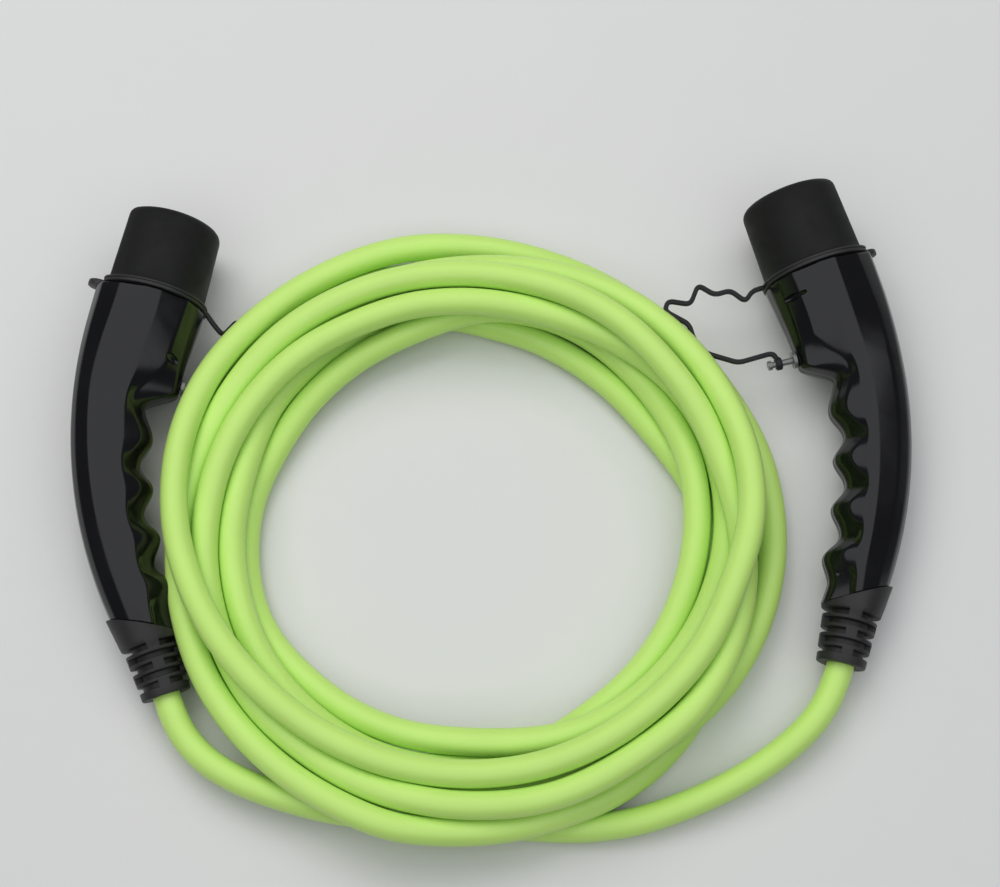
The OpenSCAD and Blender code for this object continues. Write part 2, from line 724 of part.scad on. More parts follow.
module vehicle_cap() place_vehicle() cap();
module vehicle_tether() place_vehicle() tether(tether_lift + vehicle_roll);
module vehicle_tether_pin() place_vehicle() tether_pin();
module vehicle_upper_shell() place_vehicle() shell(1, false);
module vehicle_lower_shell() place_vehicle() shell(-1, true);
module vehicle_nose() place_vehicle() nose();
module vehicle_nose_seal() place_vehicle() nose_seal();
module vehicle_contact_block() place_vehicle() socket_block();
module vehicle_contact_towers() place_vehicle() socket_towers();
module vehicle_power_contacts() place_vehicle() sockets(POWER, power_d, barrel_r, barrel_bore);
module vehicle_signal_contacts() place_vehicle() sockets(SIGNAL, signal_d, signal_barrel_r, signal_barrel_bore);
module vehicle_contact_retainer() place_vehicle() contact_retainer();
module vehicle_coding_resistor() place_vehicle() coding_resistor();
module vehicle_wires() place_vehicle() wires();
module vehicle_boot() place_vehicle() boot();
module vehicle_cable_clamp() place_vehicle() cable_clamp();
module vehicle_clamp_screws() place_vehicle() clamp_screws();
module vehicle_shell_screws() place_vehicle() shell_screws(-1);
module station_cap() place_station() cap();
module station_tether() place_station() tether(station_roll - tether_lift);
module station_tether_pin() place_station() tether_pin();
module station_upper_shell() place_station() shell(-1, false);
module station_lower_shell() place_station() shell(1, true);
module station_nose() place_station() nose();
module station_nose_seal() place_station() nose_seal();
module station_contact_block() place_station() pin_block();
module station_power_contacts() place_station() pins(POWER, power_d, barrel_r, barrel_bore);
module station_signal_contacts() place_station() pins(SIGNAL, signal_d, signal_barrel_r, signal_barrel_bore);
module station_contact_retainer() place_station() contact_retainer();
module station_coding_resistor() place_station() coding_resistor();
module station_wires() place_station() wires();
module station_boot() place_station() boot();
module station_cable_clamp() place_station() cable_clamp();
module station_clamp_screws() place_station() clamp_screws();
module station_shell_screws() place_station() shell_screws(1);

vehicle_cap();
vehicle_tether();
vehicle_tether_pin();
vehicle_upper_shell();
vehicle_lower_shell();
vehicle_nose();
vehicle_nose_seal();
vehicle_contact_block();
vehicle_contact_towers();
vehicle_power_contacts();
vehicle_signal_contacts();
vehicle_contact_retainer();
vehicle_coding_resistor();
vehicle_wires();
vehicle_boot();
vehicle_cable_clamp();
vehicle_clamp_screws();
vehicle_shell_screws();
station_cap();
station_tether();
station_tether_pin();
station_upper_shell();
station_lower_shell();
station_nose();
station_nose_seal();
station_contact_block();
station_power_contacts();
station_signal_contacts();
station_contact_retainer();
station_coding_resistor();
station_wires();
station_boot();
station_cable_clamp();
station_clamp_screws();
station_shell_screws();
cable_coil();
cable_tail_vehicle();
cable_tail_station();
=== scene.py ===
"""Charging cable for an electric vehicle: the looks of its cable, handles, boots, dust caps and contacts."""
from math import acos, asin, atan2, cos, pi, radians, sin, tan

import bmesh
import bpy
import numpy as np
from bpy.props import FloatProperty, FloatVectorProperty, IntProperty, PointerProperty
from bpy.types import Operator, Panel, PropertyGroup
from mathutils import Matrix, Vector


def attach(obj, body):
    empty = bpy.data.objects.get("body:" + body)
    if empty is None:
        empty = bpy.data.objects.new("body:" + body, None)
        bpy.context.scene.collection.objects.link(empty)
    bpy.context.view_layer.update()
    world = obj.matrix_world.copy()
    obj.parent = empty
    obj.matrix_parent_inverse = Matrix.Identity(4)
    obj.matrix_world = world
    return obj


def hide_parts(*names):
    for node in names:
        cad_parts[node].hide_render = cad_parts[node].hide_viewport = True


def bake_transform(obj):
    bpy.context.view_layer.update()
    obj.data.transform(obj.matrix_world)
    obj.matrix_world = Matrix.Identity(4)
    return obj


bl_info = {
    "name": "Charging cable",
    "version": (1, 0, 0),
    "blender": (4, 5, 0),
    "location": "3D View > Sidebar > Charging cable",
    "description": "Builds the cable, handles, boots, dust caps and contacts of a charging cable",
    "category": "Object",
}

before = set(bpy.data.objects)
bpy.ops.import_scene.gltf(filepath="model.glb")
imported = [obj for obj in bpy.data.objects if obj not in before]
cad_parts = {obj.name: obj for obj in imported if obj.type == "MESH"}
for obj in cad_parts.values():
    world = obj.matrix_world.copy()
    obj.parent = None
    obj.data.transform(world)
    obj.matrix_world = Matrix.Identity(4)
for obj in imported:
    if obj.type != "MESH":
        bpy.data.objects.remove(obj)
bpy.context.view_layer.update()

# The photograph's camera, in metres, and its lens and sensor in millimetres
CAMERA_AT, LOOK_AT, LENS, SENSOR = (0.007, -0.3295, 1.0861), (0.007, -0.002, 0.015), 72.97, 36.0
# Edges sharper than this many degrees stay sharp
SHARP = 32.0

# Sizes of the part, in millimetres
MM = 0.001
NOSE_R, NOSE_FLAT, NOSE_LEN, NOSE_WALL, NOSE_SEAT = 26.2, 22.3, 44.0, 3.4, 13.0
SEAT_R, SEAT_FLAT, SEAT_LEN = 25.4, 21.5, 14.7
CAP_R, CAP_FLAT, CAP_IN_R, CAP_IN_FLAT = 28.8, 24.9, 26.5, 22.6
CAP_FROM, CAP_LEN, CAP_FLOOR = 0.3, 47.3, 44.3
FLANGE_R, FLANGE_FLAT, FLANGE_T, TAB_R = 31.3, 27.4, 3.2, 6.5
BACK_R, BACK_STRAIGHT, BACK_OFF = 250.0, 20.0, 30.5
HEAD_T, HEAD_H, HEAD_TAPER = 61.0, 30.0, 0.075
GRIP_T, GRIP_H, GRIP_TAPER, GRIP_FROM = 41.5, 18.5, 0.062, 80
WAVE, WAVE_PITCH, WAVE_COUNT, FIRST_FINGER, WAVE_LEAD = 6.4, 32.2, 3.5, 90.2, 25
BACK_END, FINGER_END, SKEW_FROM = 191.0, 214.6, 130.0
WALL, HEAD_WALL, HEAD_WALL_TO, REAR_WALL, REAR_WALL_FROM, WALL_CHANGE = 2.8, 7, 15, 7.8, 184, 9
BOOT_ANGLE, BOOT_LEN, BOOT_R, SKIRT_R = 32.0, 38.4, 13.3, 19.2
NECK_R, NECK_FROM, NECK_TO, BORE_R = 10.5, 52, 58, 7.65
SLOT_PITCH, SLOT_W, SLOT_FIRST, SLOT_ROWS, SLOT_FLOOR, WEB_W = 5.2, 3.2, 4.6, 5, 10.9, 6.0
SKIRT_FROM = SLOT_FIRST + SLOT_ROWS * SLOT_PITCH - 1
CHIN_FROM, CHIN_TO = 56.5, 69.0
# The top's ridges: distances from the back in head and grip, what the finger ridge keeps from the finger
# side there and at least, and the stations over which they move
SPINE_RIDGE, TOP_RIDGE, TOP_FROM, TOP_OVER = (26.8, 22.8), (34.4, 27.5), 5, 85
RIDGE_IN_HEAD, RIDGE_IN_GRIP, RIDGE_LEAST, RIDGE_FROM, RIDGE_OVER = 10.5, 7, 6.5, 38, 28
HEAD_TO = 65
PIN_S, PIN_ANGLE, PIN_REACH = 49.5, 5.0, 10.0
# The tether's eyelet on the pin: radius and place along the pin of each ring round it
EYELET = [(1.9, -1.5), (2.1, -1.7), (3.1, -1.7), (3.6, -1.2), (3.6, 1.2), (3.1, 1.7), (2.1, 1.7), (1.9, 1.5)]
TETHER_Y, TETHER_T = 2.0, 3.0
# Tethers: folded beneath the outermost turn on the vehicle's side, a loop beside the coil on the other
TETHER = {
    "vehicle": [(37, -3, -1), (43, -7, -2), (48.5, 5, -6.5), (51, -7, -11), (46.5, -21.5, -12.5),
                (41.5, -34, -9)],
    "station": [(38, 2, 1), (44, -3, 2), (50, 5.5, 3), (59.5, 5.5, 4), (66.5, 13.5, 5), (74.5, 4, 6),
                (86, 9.5, 7), (89.5, 4.5, 7), (79, -6.5, 6), (79.5, -15.5, 6), (76, -24.5, 5), (60, -35, 3)],
}
SHELL_SCREWS = [(40, 9), (98, 9.5), (150, 8.5)]
SCREW_SEAT, SCREW_HEAD_R = 8.0, 2.8
# Small dimples in the halves that face up: their two ends on the skin and half their width
DIMPLES = {
    "vehicle": [((16.4, -31.6, 19.9), (23.9, -33.8, 12.7), 2.5)],
    "station": [((26.4, -12.5, 12.7), (14.9, -12.7, 24.1), 2.4),
                ((52.2, -162.4, 9.5), (49.2, -164.3, 14.4), 2.1)],
}
# Where the connectors lie, with 1 or -1 for the Z side of their own frame that faces up
SIDES = {
    "vehicle": {"at": (-187.0, 75.0, 31.2911), "roll": 12.0, "pitch": 0.924961, "yaw": -12.5, "up": 1},
    "station": {"at": (184.0, 91.7, 31.1962), "roll": 180.0, "pitch": 4.15106, "yaw": 18.5, "up": -1},
}

# The coil: its middle, its outermost radius, the first layer's height and the rise of the next ones
COIL_X, COIL_Y, COIL_REACH, LAYER_Z, LAYER_RISE = -5.5, -49.0, 176, 7.6, 13.2
# Settling: points held at each end, sinking and pull in a round, and the last rounds, which only smooth
# and part the turns
HELD, SINK, PULL, LAST_ROUNDS, QUICK_ROUNDS = 6, 0.1, 0.12, 80, 60
POINT_STEP, CLEAR, NEAR = 5, 0.15, 1.45
# The camera from above, its height over the coil's middle and the middle's height
VIEW_XY, VIEW_H, VIEW_Z = (7, -329.5), 1071, 15
# The vehicle connector's tether pin, which the outermost turn rests on: places and how close it comes
POSTS = [((-166.5, 27.4, 23.4), 11.6), ((-171.5, 28.5, 24.5), 10.6), ((-161.5, 28, 22), 10)]

# Routes of the cable outside the connectors, as the solids have them
TAIL_VEHICLE = [(-164.5, -156, 12.2), (-155.5, -168.4, 10), (-143.5, -178.8, 8.4), (-130, -186.4, 7.7),
                (-113, -193, 7.6), (-92, -199, 7.6)]
TAIL_STATION = [(184, -139, 13.5), (175, -153, 10.5), (161, -167, 8.5), (144, -179, 7.6),
                (124, -190, 7.6), (101, -199, 7.6), (77, -206, 7.6)]

# The turns of the coil, from the vehicle's tail to the station's. By the angle of its first point, each run
# has the radius and the layer of points that follow each other every 15 degrees.
COIL = {
    250: [(165, 0)], 258: [(157.5, .5)], 270: [(151, .9), (149.7, 1), (151.6, 1), (155.5, 1), (158.5, 1),
    (160.3, 1), (160.4, .3), (158.7, 0), (155, 0), (154, 0), (155.5, 0), (158, 0), (162.2, 0), (166.6, 0),
    (168.3, .4), (170, 1.4), (170.8, 2), (167.3, 2.1), (162.2, 2)], 550: [(157.5, 2)], 560: [(153, 2)],
    570: [(149, 2), (144, 2), (141, 2), (138, 2), (135.7, 2), (134.8, 2), (134.5, 2), (135.5, 2), (138, 2),
    (140.2, 2), (144.5, 2), (147.5, 2), (150.4, 2), (153, 2), (153.7, 2), (152.5, 1.5), (150.8, 1),
    (150.5, .9), (149.5, .8)], 870: [(146, .1)], 900: [(144.5, 0)], 930: [(143.5, 0)], 960: [(141.5, 0)],
    990: [(141, 0)], 1020: [(137.5, 0)], 1050: [(133.5, 0)], 1070: [(129.5, 0)], 1090: [(124, 0)],
    1110: [(115.5, 0), (113.1, 0), (112.9, 0), (115, 0), (119, 0)], 1180: [(122.2, 0)], 1200: [(127.5, 0),
    (131, .1), (132.5, .3)], 1260: [(132.5, 1), (134, 1), (136, 1), (136.5, 1), (136.7, 1), (136, .8),
    (131, .2), (125, 0), (120, 0), (118.8, 0), (118.6, 0), (119.2, .4), (121.2, .9), (123.5, 1),
    (124.9, .9), (126.1, .8), (127.3, .7), (127, .8), (125, .8), (122, .8), (121.8, .8), (123.2, .5),
    (124, .1)], 1610: [(128, 0)], 1630: [(130, 0)], 1647: [(130.5, 0)], 1665: [(126.6, 0), (125.4, 0),
    (124.8, 0), (124.7, .8), (126.3, 1), (128.4, 1), (129, 1), (130.5, 1), (132.5, 1), (134.5, 1.1),
    (133.8, 1.2), (132.5, 1.3), (131, 1.4), (129.2, 1.5), (128.1, 1.7), (128.5, 1.8), (131.6, 1.5),
    (134.2, 1.2), (138.5, 1), (141.5, 1), (144, 1), (147, 1), (150, 1), (151.3, 1), (152, 1.3)],
    2055: [(152.2, 1.9)], 2085: [(152.2, 2)], 2115: [(151.3, 1.9), (150.3, 1.5), (147.5, 1), (144, 1.2),
    (140.5, 1.7), (139, 2), (138.5, 2), (140.2, 2), (142.3, 2), (145.2, 2), (148.8, 1.9), (152.2, 1.7),
    (155.3, 1.2), (157, 1), (159.1, 1), (160.8, 1), (161.5, .9), (163.8, .7), (164, .7), (163.5, .8),
    (162.8, 1), (161.4, 1), (160, .9), (158.2, .5), (154.8, .1), (150, .1), (147.5, .1), (145.5, 0)],
    2550: [(142, 0)], 2580: [(140, 0)], 2610: [(144, 0), (149, 0), (154, 0)], 2670: [(161, 0)],
    2700: [(162, 0)], 2730: [(162, 0)], 2760: [(161, 0), (158.5, 0), (158.5, 0)], 2800: [(162, 0)],
    2808: [(168, 0)],
}


LENGTH = {"subtype": "DISTANCE", "unit": "LENGTH"}
COLOUR = {"min": 0, "max": 1, "subtype": "COLOR"}


class CableSettings(PropertyGroup):
    diameter: FloatProperty(name="Diameter", description="Diameter of the cable's jacket",
                            default=0.015, min=0.013, max=0.016, **LENGTH)
    colour: FloatVectorProperty(name="Jacket", description="Colour of the jacket",
                                default=(0.55, 0.83, 0.19), **COLOUR)
    sides: IntProperty(name="Sides", description="Facets round the jacket", default=24, min=12, max=48)
    settle_steps: IntProperty(name="Settling steps", description="Rounds in which the turns settle",
                              default=420, min=50, max=800)


class HandleSettings(PropertyGroup):
    colour: FloatVectorProperty(name="Handle", description="Colour of the handle's shells",
                                default=(0.004, 0.004, 0.005), **COLOUR)
    seam: FloatProperty(name="Seam", description="Chamfer of each half along the parting line",
                        default=0.0004, min=0.0001, max=0.001, **LENGTH)
    softness: FloatProperty(name="Ridge softness", description="Reach of a ridge's rounding to each side",
                            default=0.0016, min=0.0005, max=0.004, **LENGTH)
    edge: FloatProperty(name="End rounding", description="Rounding of the shells' two ends",
                        default=0.0012, min=0.0004, max=0.002, **LENGTH)


class RubberSettings(PropertyGroup):
    cap_colour: FloatVectorProperty(name="Dust cap", description="Colour of the dust caps",
                                    default=(0.008, 0.008, 0.008), **COLOUR)
    boot_colour: FloatVectorProperty(name="Boot", description="Colour of the boots",
                                     default=(0.02, 0.019, 0.02), **COLOUR)
    lip: FloatProperty(name="Lip line", description="Depth of the line round the flange's rim",
                       default=0.0006, min=0.0001, max=0.001, **LENGTH)
    slot_edge: FloatProperty(name="Slot edge", description="Rounding of the boot's slots",
                             default=0.0004, min=0.0001, max=0.0008, **LENGTH)
    tether_width: FloatProperty(name="Tether width", description="Width of the tether's strip",
                                default=0.0026, min=0.002, max=0.004, **LENGTH)


class StageSettings(PropertyGroup):
    floor_colour: FloatVectorProperty(name="Floor", description="Colour of the floor",
                                      default=(0.7, 0.7, 0.69), **COLOUR)
    light: FloatProperty(name="Light", description="Strength of the large lamp overhead in watts",
                         default=75.0, min=1, max=200)


def ease(x):
    """A smooth step from 0 to 1."""
    x = min(max(x, 0.0), 1.0)
    return x * x * (3 - 2 * x)


def mix(a, b, f):
    return a + (b - a) * f


def circle(r, n):
    """Points on a circle round the origin."""
    return [(r * cos(f), r * sin(f)) for f in np.linspace(0, 2 * pi, n, False)]


def place(side):
    """The matrix from a connector's own frame in millimetres to the object's frame in metres."""
    s = SIDES[side]
    turn = Matrix.Identity(4)
    for key, about in (("yaw", "Z"), ("pitch", "X"), ("roll", "Y")):
        turn = turn @ Matrix.Rotation(radians(s[key]), 4, about)
    return Matrix.Translation(Vector(s["at"]) * MM) @ turn @ Matrix.Scale(MM, 4)


def back_point(s, w):
    """A point at a depth in from the handle's back, at a place along the back."""
    if s < BACK_STRAIGHT:
        return np.array([w - BACK_OFF, -s])
    a = (s - BACK_STRAIGHT) / BACK_R
    return np.array([BACK_R - BACK_OFF, -BACK_STRAIGHT]) - (BACK_R - w) * np.array([cos(a), sin(a)])


def finger_wave(s):
    """The finger waves from -1 to 1, with a longer rise before the first."""
    if FIRST_FINGER < s <= FIRST_FINGER + WAVE_COUNT * WAVE_PITCH:
        return cos(2 * pi * (s - FIRST_FINGER) / WAVE_PITCH)
    if FIRST_FINGER - WAVE_LEAD < s <= FIRST_FINGER:
        return cos(pi * (s - FIRST_FINGER) / WAVE_LEAD)
    return -1


def head_depth(s):
    return HEAD_T - HEAD_TAPER * s


def grip_depth(s):
    return GRIP_T - GRIP_TAPER * (s - GRIP_FROM)


def depth(s):
    """From the back to the finger side at a station: the head, the chin's slope, then the waved grip."""
    grip = grip_depth(s) + WAVE / 2 * finger_wave(s)
    return mix(head_depth(s), grip, ease((s - CHIN_FROM) / (CHIN_TO - CHIN_FROM)))


def skew(s):
    """How far the back's point of a station lies before the finger side's, for the slanted rear face."""
    if s < SKEW_FROM:
        return 0
    return (FINGER_END - BACK_END) * ((s - SKEW_FROM) / (FINGER_END - SKEW_FROM)) ** 2


REAR_BACK = back_point(BACK_END, 0)
REAR_FRONT = back_point(FINGER_END, depth(FINGER_END))
REAR_MID = (REAR_BACK + REAR_FRONT) / 2
BOOT_DIR = np.array([sin(radians(BOOT_ANGLE)), -cos(radians(BOOT_ANGLE))])
MOUTH = REAR_MID + BOOT_LEN * BOOT_DIR


def mouth_point(side, b):
    """A point on the boot's axis, b millimetres in from its mouth, in metres."""
    p = MOUTH - b * BOOT_DIR
    return place(side) @ Vector((p[0], p[1], 0))


def loft(rings, ends="open"):
    """Vertices and faces of rings swept into a skin.

    The ends are open, capped flat, closed in strips for a hollow half, or joined to each other."""
    n, last = len(rings[0]), len(rings) - 1
    verts = [tuple(map(float, p)) for ring in rings for p in ring]
    stop = last + 1 if ends == "joined" else last
    faces = []
    for i in range(stop):
        here, after = i * n, (i + 1) % (last + 1) * n
        faces += [(here + j, here + (j + 1) % n, after + (j + 1) % n, after + j) for j in range(n)]
    if ends == "flat":
        faces += [tuple(range(n - 1, -1, -1)), tuple(last * n + j for j in range(n))]
    if ends == "strips":
        for k in (0, last * n):
            faces += [(k + j, k + n - 1 - j, k + n - 2 - j, k + j + 1) for j in range(n // 2 - 1)]
    return verts, faces


def join_parts(*parts):
    verts, faces = [], []
    for v, f in parts:
        k = len(verts)
        verts += v
        faces += [tuple(i + k for i in face) for face in f]
    return verts, faces


def as_piece(name, verts, faces, side, sharp=SHARP):
    """A mesh object at the origin, placed by its own vertices, with its faces outwards."""
    mesh = bpy.data.meshes.new(name)
    mesh.from_pydata(verts, [], faces)
    mesh.transform(place(side))
    bm = bmesh.new()
    bm.from_mesh(mesh)
    bmesh.ops.remove_doubles(bm, verts=bm.verts, dist=1e-6)
    bmesh.ops.dissolve_degenerate(bm, edges=bm.edges, dist=1e-7)
    bmesh.ops.recalc_face_normals(bm, faces=bm.faces)
    bm.to_mesh(mesh)
    bm.free()
    shade(mesh, sharp)
    return add_object(name, mesh)


def add_object(name, data):
    obj = bpy.data.objects.new(name, data)
    bpy.context.scene.collection.objects.link(obj)
    return obj


def shade(mesh, sharp=SHARP):
    mesh.shade_smooth()
    mesh.set_sharp_from_angle(angle=radians(sharp))


def corner_curve(a, corner, b, shares):
    """Points of a quadratic curve from a to b that bends towards the corner."""
    return [(1 - f) ** 2 * a + 2 * f * (1 - f) * corner + f * f * b for f in shares]


def rounded(points, cut, steps=4, closed=False):
    """A line of points with its corners rounded."""
    pts = [np.array(p, float) for p in points]
    n = len(pts)
    out = [] if closed else [pts[0]]
    for i in (range(n) if closed else range(1, n - 1)):
        before, at, after = pts[i - 1], pts[i], pts[(i + 1) % n]
        la, lb = np.linalg.norm(before - at), np.linalg.norm(after - at)
        a = at + min(cut, 0.45 * la) * (before - at) / la
        b = at + min(cut, 0.45 * lb) * (after - at) / lb
        out += corner_curve(a, at, b, np.linspace(0, 1, steps))
    return out if closed else out + [pts[-1]]


# Finishes

def socket(group, name, kind, way, value=None):
    s = group.interface.new_socket(name=name, in_out=way, socket_type="NodeSocket" + kind)
    if value is not None:
        s.default_value = value


def give(node, values):
    """Sets inputs of a node by their names."""
    for key, value in values.items():
        node.inputs[key].default_value = value


def wire(start, out, end, into):
    """Links an output of one node to an input of another."""
    start.id_data.links.new(start.outputs[out], end.inputs[into])


def shader_group(name, inputs, outputs):
    """A shader group with float sockets, its nodes, its input node and its output node."""
    g = bpy.data.node_groups.new(name, "ShaderNodeTree")
    for key, value in inputs.items():
        socket(g, key, "Float", "INPUT", value)
    for key in outputs:
        socket(g, key, "Float", "OUTPUT")
    return g, g.nodes, g.nodes.new("NodeGroupInput"), g.nodes.new("NodeGroupOutput")


def grain_group():
    """Moulded surface: a fine grain for the bump and a slow mottle for colour and gloss."""
    name = "Moulded grain"
    if name in bpy.data.node_groups:
        return bpy.data.node_groups[name]
    g, n, start, end = shader_group(name, {"Grain scale": 1500.0, "Mottle scale": 40.0},
                                    ("Height", "Mottle"))
    coord = n.new("ShaderNodeTexCoord")
    for detail, source, result in ((4, "Grain scale", "Height"), (3, "Mottle scale", "Mottle")):
        tex = n.new("ShaderNodeTexNoise")
        give(tex, {"Detail": detail})
        wire(coord, "Object", tex, "Vector")
        wire(start, source, tex, "Scale")
        wire(tex, "Fac", end, result)
    return g


def smear_group():
    """Handling marks: soft smears and fine dust that change the gloss."""
    name = "Handling marks"
    if name in bpy.data.node_groups:
        return bpy.data.node_groups[name]
    g, n, start, end = shader_group(name, {"Smear scale": 60.0, "Dust scale": 900.0, "Gloss low": 0.2,
                                           "Gloss high": 0.35}, ("Roughness", "Dust"))
    coord = n.new("ShaderNodeTexCoord")
    smear, dust = n.new("ShaderNodeTexNoise"), n.new("ShaderNodeTexVoronoi")
    give(smear, {"Detail": 5, "Distortion": 0.6})
    for tex, source in ((smear, "Smear scale"), (dust, "Dust scale")):
        wire(coord, "Object", tex, "Vector")
        wire(start, source, tex, "Scale")
    spread, speck = n.new("ShaderNodeMapRange"), n.new("ShaderNodeMapRange")
    give(spread, {"From Min": 0.35, "From Max": 0.7})
    wire(smear, "Fac", spread, "Value")
    wire(start, "Gloss low", spread, "To Min")
    wire(start, "Gloss high", spread, "To Max")
    wire(spread, "Result", end, "Roughness")
    give(speck, {"From Min": 0.12, "From Max": 0.04})
    wire(dust, "Distance", speck, "Value")
    wire(speck, "Result", end, "Dust")
    return g


def finish_material(name, colour, gloss, tone=0.12, grain=(1500, 40, 3e-5), marks=(60, 900),
                    dust=0.0, metallic=0.0, specular=0.5):
    """A moulded, drawn or turned finish with grain, mottle and handling marks."""
    m = bpy.data.materials.new(name)
    m.use_nodes = True
    n = m.node_tree.nodes
    shader = n["Principled BSDF"]
    grains, handling = n.new("ShaderNodeGroup"), n.new("ShaderNodeGroup")
    grains.node_tree, handling.node_tree = grain_group(), smear_group()
    give(grains, {"Grain scale": grain[0], "Mottle scale": grain[1]})
    give(handling, {"Smear scale": marks[0], "Dust scale": marks[1],
                    "Gloss low": gloss[0], "Gloss high": gloss[1]})
    tint = n.new("ShaderNodeMix")
    tint.data_type = "RGBA"
    tint.inputs[6].default_value = (*[c * (1 - tone) for c in colour], 1)
    tint.inputs[7].default_value = (*[min(c * (1 + tone), 1) for c in colour], 1)
    wire(grains, "Mottle", tint, "Factor")
    last = tint
    if dust:
        dusty = n.new("ShaderNodeMix")
        dusty.data_type = "RGBA"
        dusty.inputs[7].default_value = (*[mix(c, 0.4, dust) for c in colour], 1)
        wire(tint, 2, dusty, 6)
        wire(handling, "Dust", dusty, "Factor")
        last = dusty
    wire(last, 2, shader, "Base Color")
    wire(handling, "Roughness", shader, "Roughness")
    bump = n.new("ShaderNodeBump")
    give(bump, {"Strength": 1.0, "Distance": grain[2]})
    wire(grains, "Height", bump, "Height")
    wire(bump, "Normal", shader, "Normal")
    give(shader, {"Metallic": metallic, "Specular IOR Level": specular})
    return m


FINISHES = {
    "Jacket": dict(gloss=(0.34, 0.46), tone=0.05, grain=(2600, 26, 2e-5), marks=(24, 700)),
    "Handle plastic": dict(gloss=(0.13, 0.24), tone=0.15, grain=(3200, 30, 4e-6),
                           marks=(45, 1100), dust=0.03, specular=0.45),
    "Cap rubber": dict(gloss=(0.55, 0.72), tone=0.2, grain=(2400, 35, 3e-5), dust=0.05, specular=0.25),
    # Painted light: the flange and tab are the cap's own rubber, painted lighter to stand in for the light
    # on the flange's rim
    "Flange rubber painted lighter": dict(colour=(0.022, 0.022, 0.022), gloss=(0.42, 0.58), tone=0.2,
                          grain=(2400, 35, 3e-5), dust=0.05, specular=0.45),
    "Tether rubber": dict(colour=(0.014, 0.014, 0.015), gloss=(0.42, 0.6), tone=0.2,
                          grain=(2600, 60, 3e-5), specular=0.3),
    "Boot rubber": dict(gloss=(0.42, 0.58), tone=0.15, grain=(2200, 45, 3e-5),
                        dust=0.06, specular=0.4),
    "Seal rubber": dict(colour=(0.03, 0.03, 0.032), gloss=(0.5, 0.65), tone=0.15),
    "Pin plastic": dict(colour=(0.2, 0.205, 0.2), gloss=(0.25, 0.4), tone=0.1, metallic=0.6),
    "Nose plastic": dict(colour=(0.014, 0.014, 0.015), gloss=(0.28, 0.42), tone=0.15),
    "Block plastic": dict(colour=(0.02, 0.02, 0.022), gloss=(0.38, 0.52), tone=0.3,
                          grain=(2800, 500, 2e-5)),
    "Silver": dict(colour=(0.78, 0.78, 0.76), gloss=(0.18, 0.34), tone=0.1, metallic=1.0,
                   grain=(4000, 120, 6e-6)),
    "Retainer plastic": dict(colour=(0.045, 0.05, 0.058), gloss=(0.4, 0.55), tone=0.2),
    "Resistor": dict(colour=(0.55, 0.44, 0.25), gloss=(0.35, 0.5), tone=0.15),
    "Wire jackets": dict(colour=(0.1, 0.2, 0.38), gloss=(0.35, 0.5), tone=0.15),
    "Clamp plastic": dict(colour=(0.09, 0.095, 0.1), gloss=(0.4, 0.55), tone=0.2),
    "Screw steel": dict(colour=(0.5, 0.51, 0.53), gloss=(0.22, 0.38), tone=0.15, metallic=1.0,
                        grain=(3500, 200, 1e-5)),
}


def material(name):
    """The finish of that name, made the first time that it is asked for."""
    if name in bpy.data.materials:
        return bpy.data.materials[name]
    s = bpy.context.scene
    chosen = {"Jacket": s.charge_cable.colour, "Handle plastic": s.charge_handle.colour,
              "Cap rubber": s.charge_rubber.cap_colour, "Boot rubber": s.charge_rubber.boot_colour}
    kind = dict(FINISHES[name])
    if name in chosen:
        kind["colour"] = tuple(chosen[name])
    return finish_material(name, **kind)


def dress(obj, name):
    obj.data.materials.append(material(name))


def repaint(node, name):
    """Gives a CAD node its procedural finish, in its object's own material slots."""
    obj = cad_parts[node]
    for s in obj.material_slots:
        s.link = "OBJECT"
        s.material = material(name)


# The cable

def traced_route():
    """Points of the whole route in millimetres, with the layer heights as first guesses."""
    route = [np.array(mouth_point("vehicle", b)) / MM for b in (26, 13, 0)]
    route += [np.array(p, float) for p in TAIL_VEHICLE]
    for first, run in COIL.items():
        for k, (r, layer) in enumerate(run):
            a = radians(first + 15 * k)
            z = LAYER_Z + LAYER_RISE * layer
            route.append(np.array([COIL_X + r * cos(a), COIL_Y + r * sin(a), z]))
    route += [np.array(p, float) for p in reversed(TAIL_STATION)]
    route += [np.array(mouth_point("station", b)) / MM for b in (0, 13, 26)]
    return np.array(route)


def through(points, step):
    """A smooth line through the points, resampled to even steps."""
    p = np.vstack([2 * points[0] - points[1], points, 2 * points[-1] - points[-2]])
    out = []
    for i in range(1, len(p) - 2):
        a, b, c, d = p[i - 1:i + 3]
        t0, t1 = np.linalg.norm(b - a) ** 0.5, np.linalg.norm(c - b) ** 0.5
        t2 = np.linalg.norm(d - c) ** 0.5
        m1 = t1 * ((b - a) / t0 - (c - a) / (t0 + t1) + (c - b) / t1)
        m2 = t1 * ((c - b) / t1 - (d - b) / (t1 + t2) + (d - c) / t2)
        for f in np.linspace(0, 1, 12, endpoint=False):
            out.append((2 * f ** 3 - 3 * f ** 2 + 1) * b + (f ** 3 - 2 * f ** 2 + f) * m1
                       + (3 * f ** 2 - 2 * f ** 3) * c + (f ** 3 - f ** 2) * m2)
    out = np.array(out + [points[-1]])
    along = np.concatenate([[0], np.cumsum(np.linalg.norm(np.diff(out, axis=0), axis=1))])
    places = np.linspace(0, along[-1], int(round(along[-1] / step)) + 1)
    return np.column_stack([np.interp(places, along, out[:, k]) for k in range(3)])


def even_out(line, rounds):
    """Takes short kinks out of a line and keeps its size; its two ends are held."""
    p = line.copy()
    for _ in range(rounds):
        for share in (0.5, -0.52):
            middle = (p[HELD - 1:-HELD - 1] + p[HELD + 1:len(p) - HELD + 1]) / 2
            p[HELD:-HELD] += share * (middle - p[HELD:-HELD])
    return p


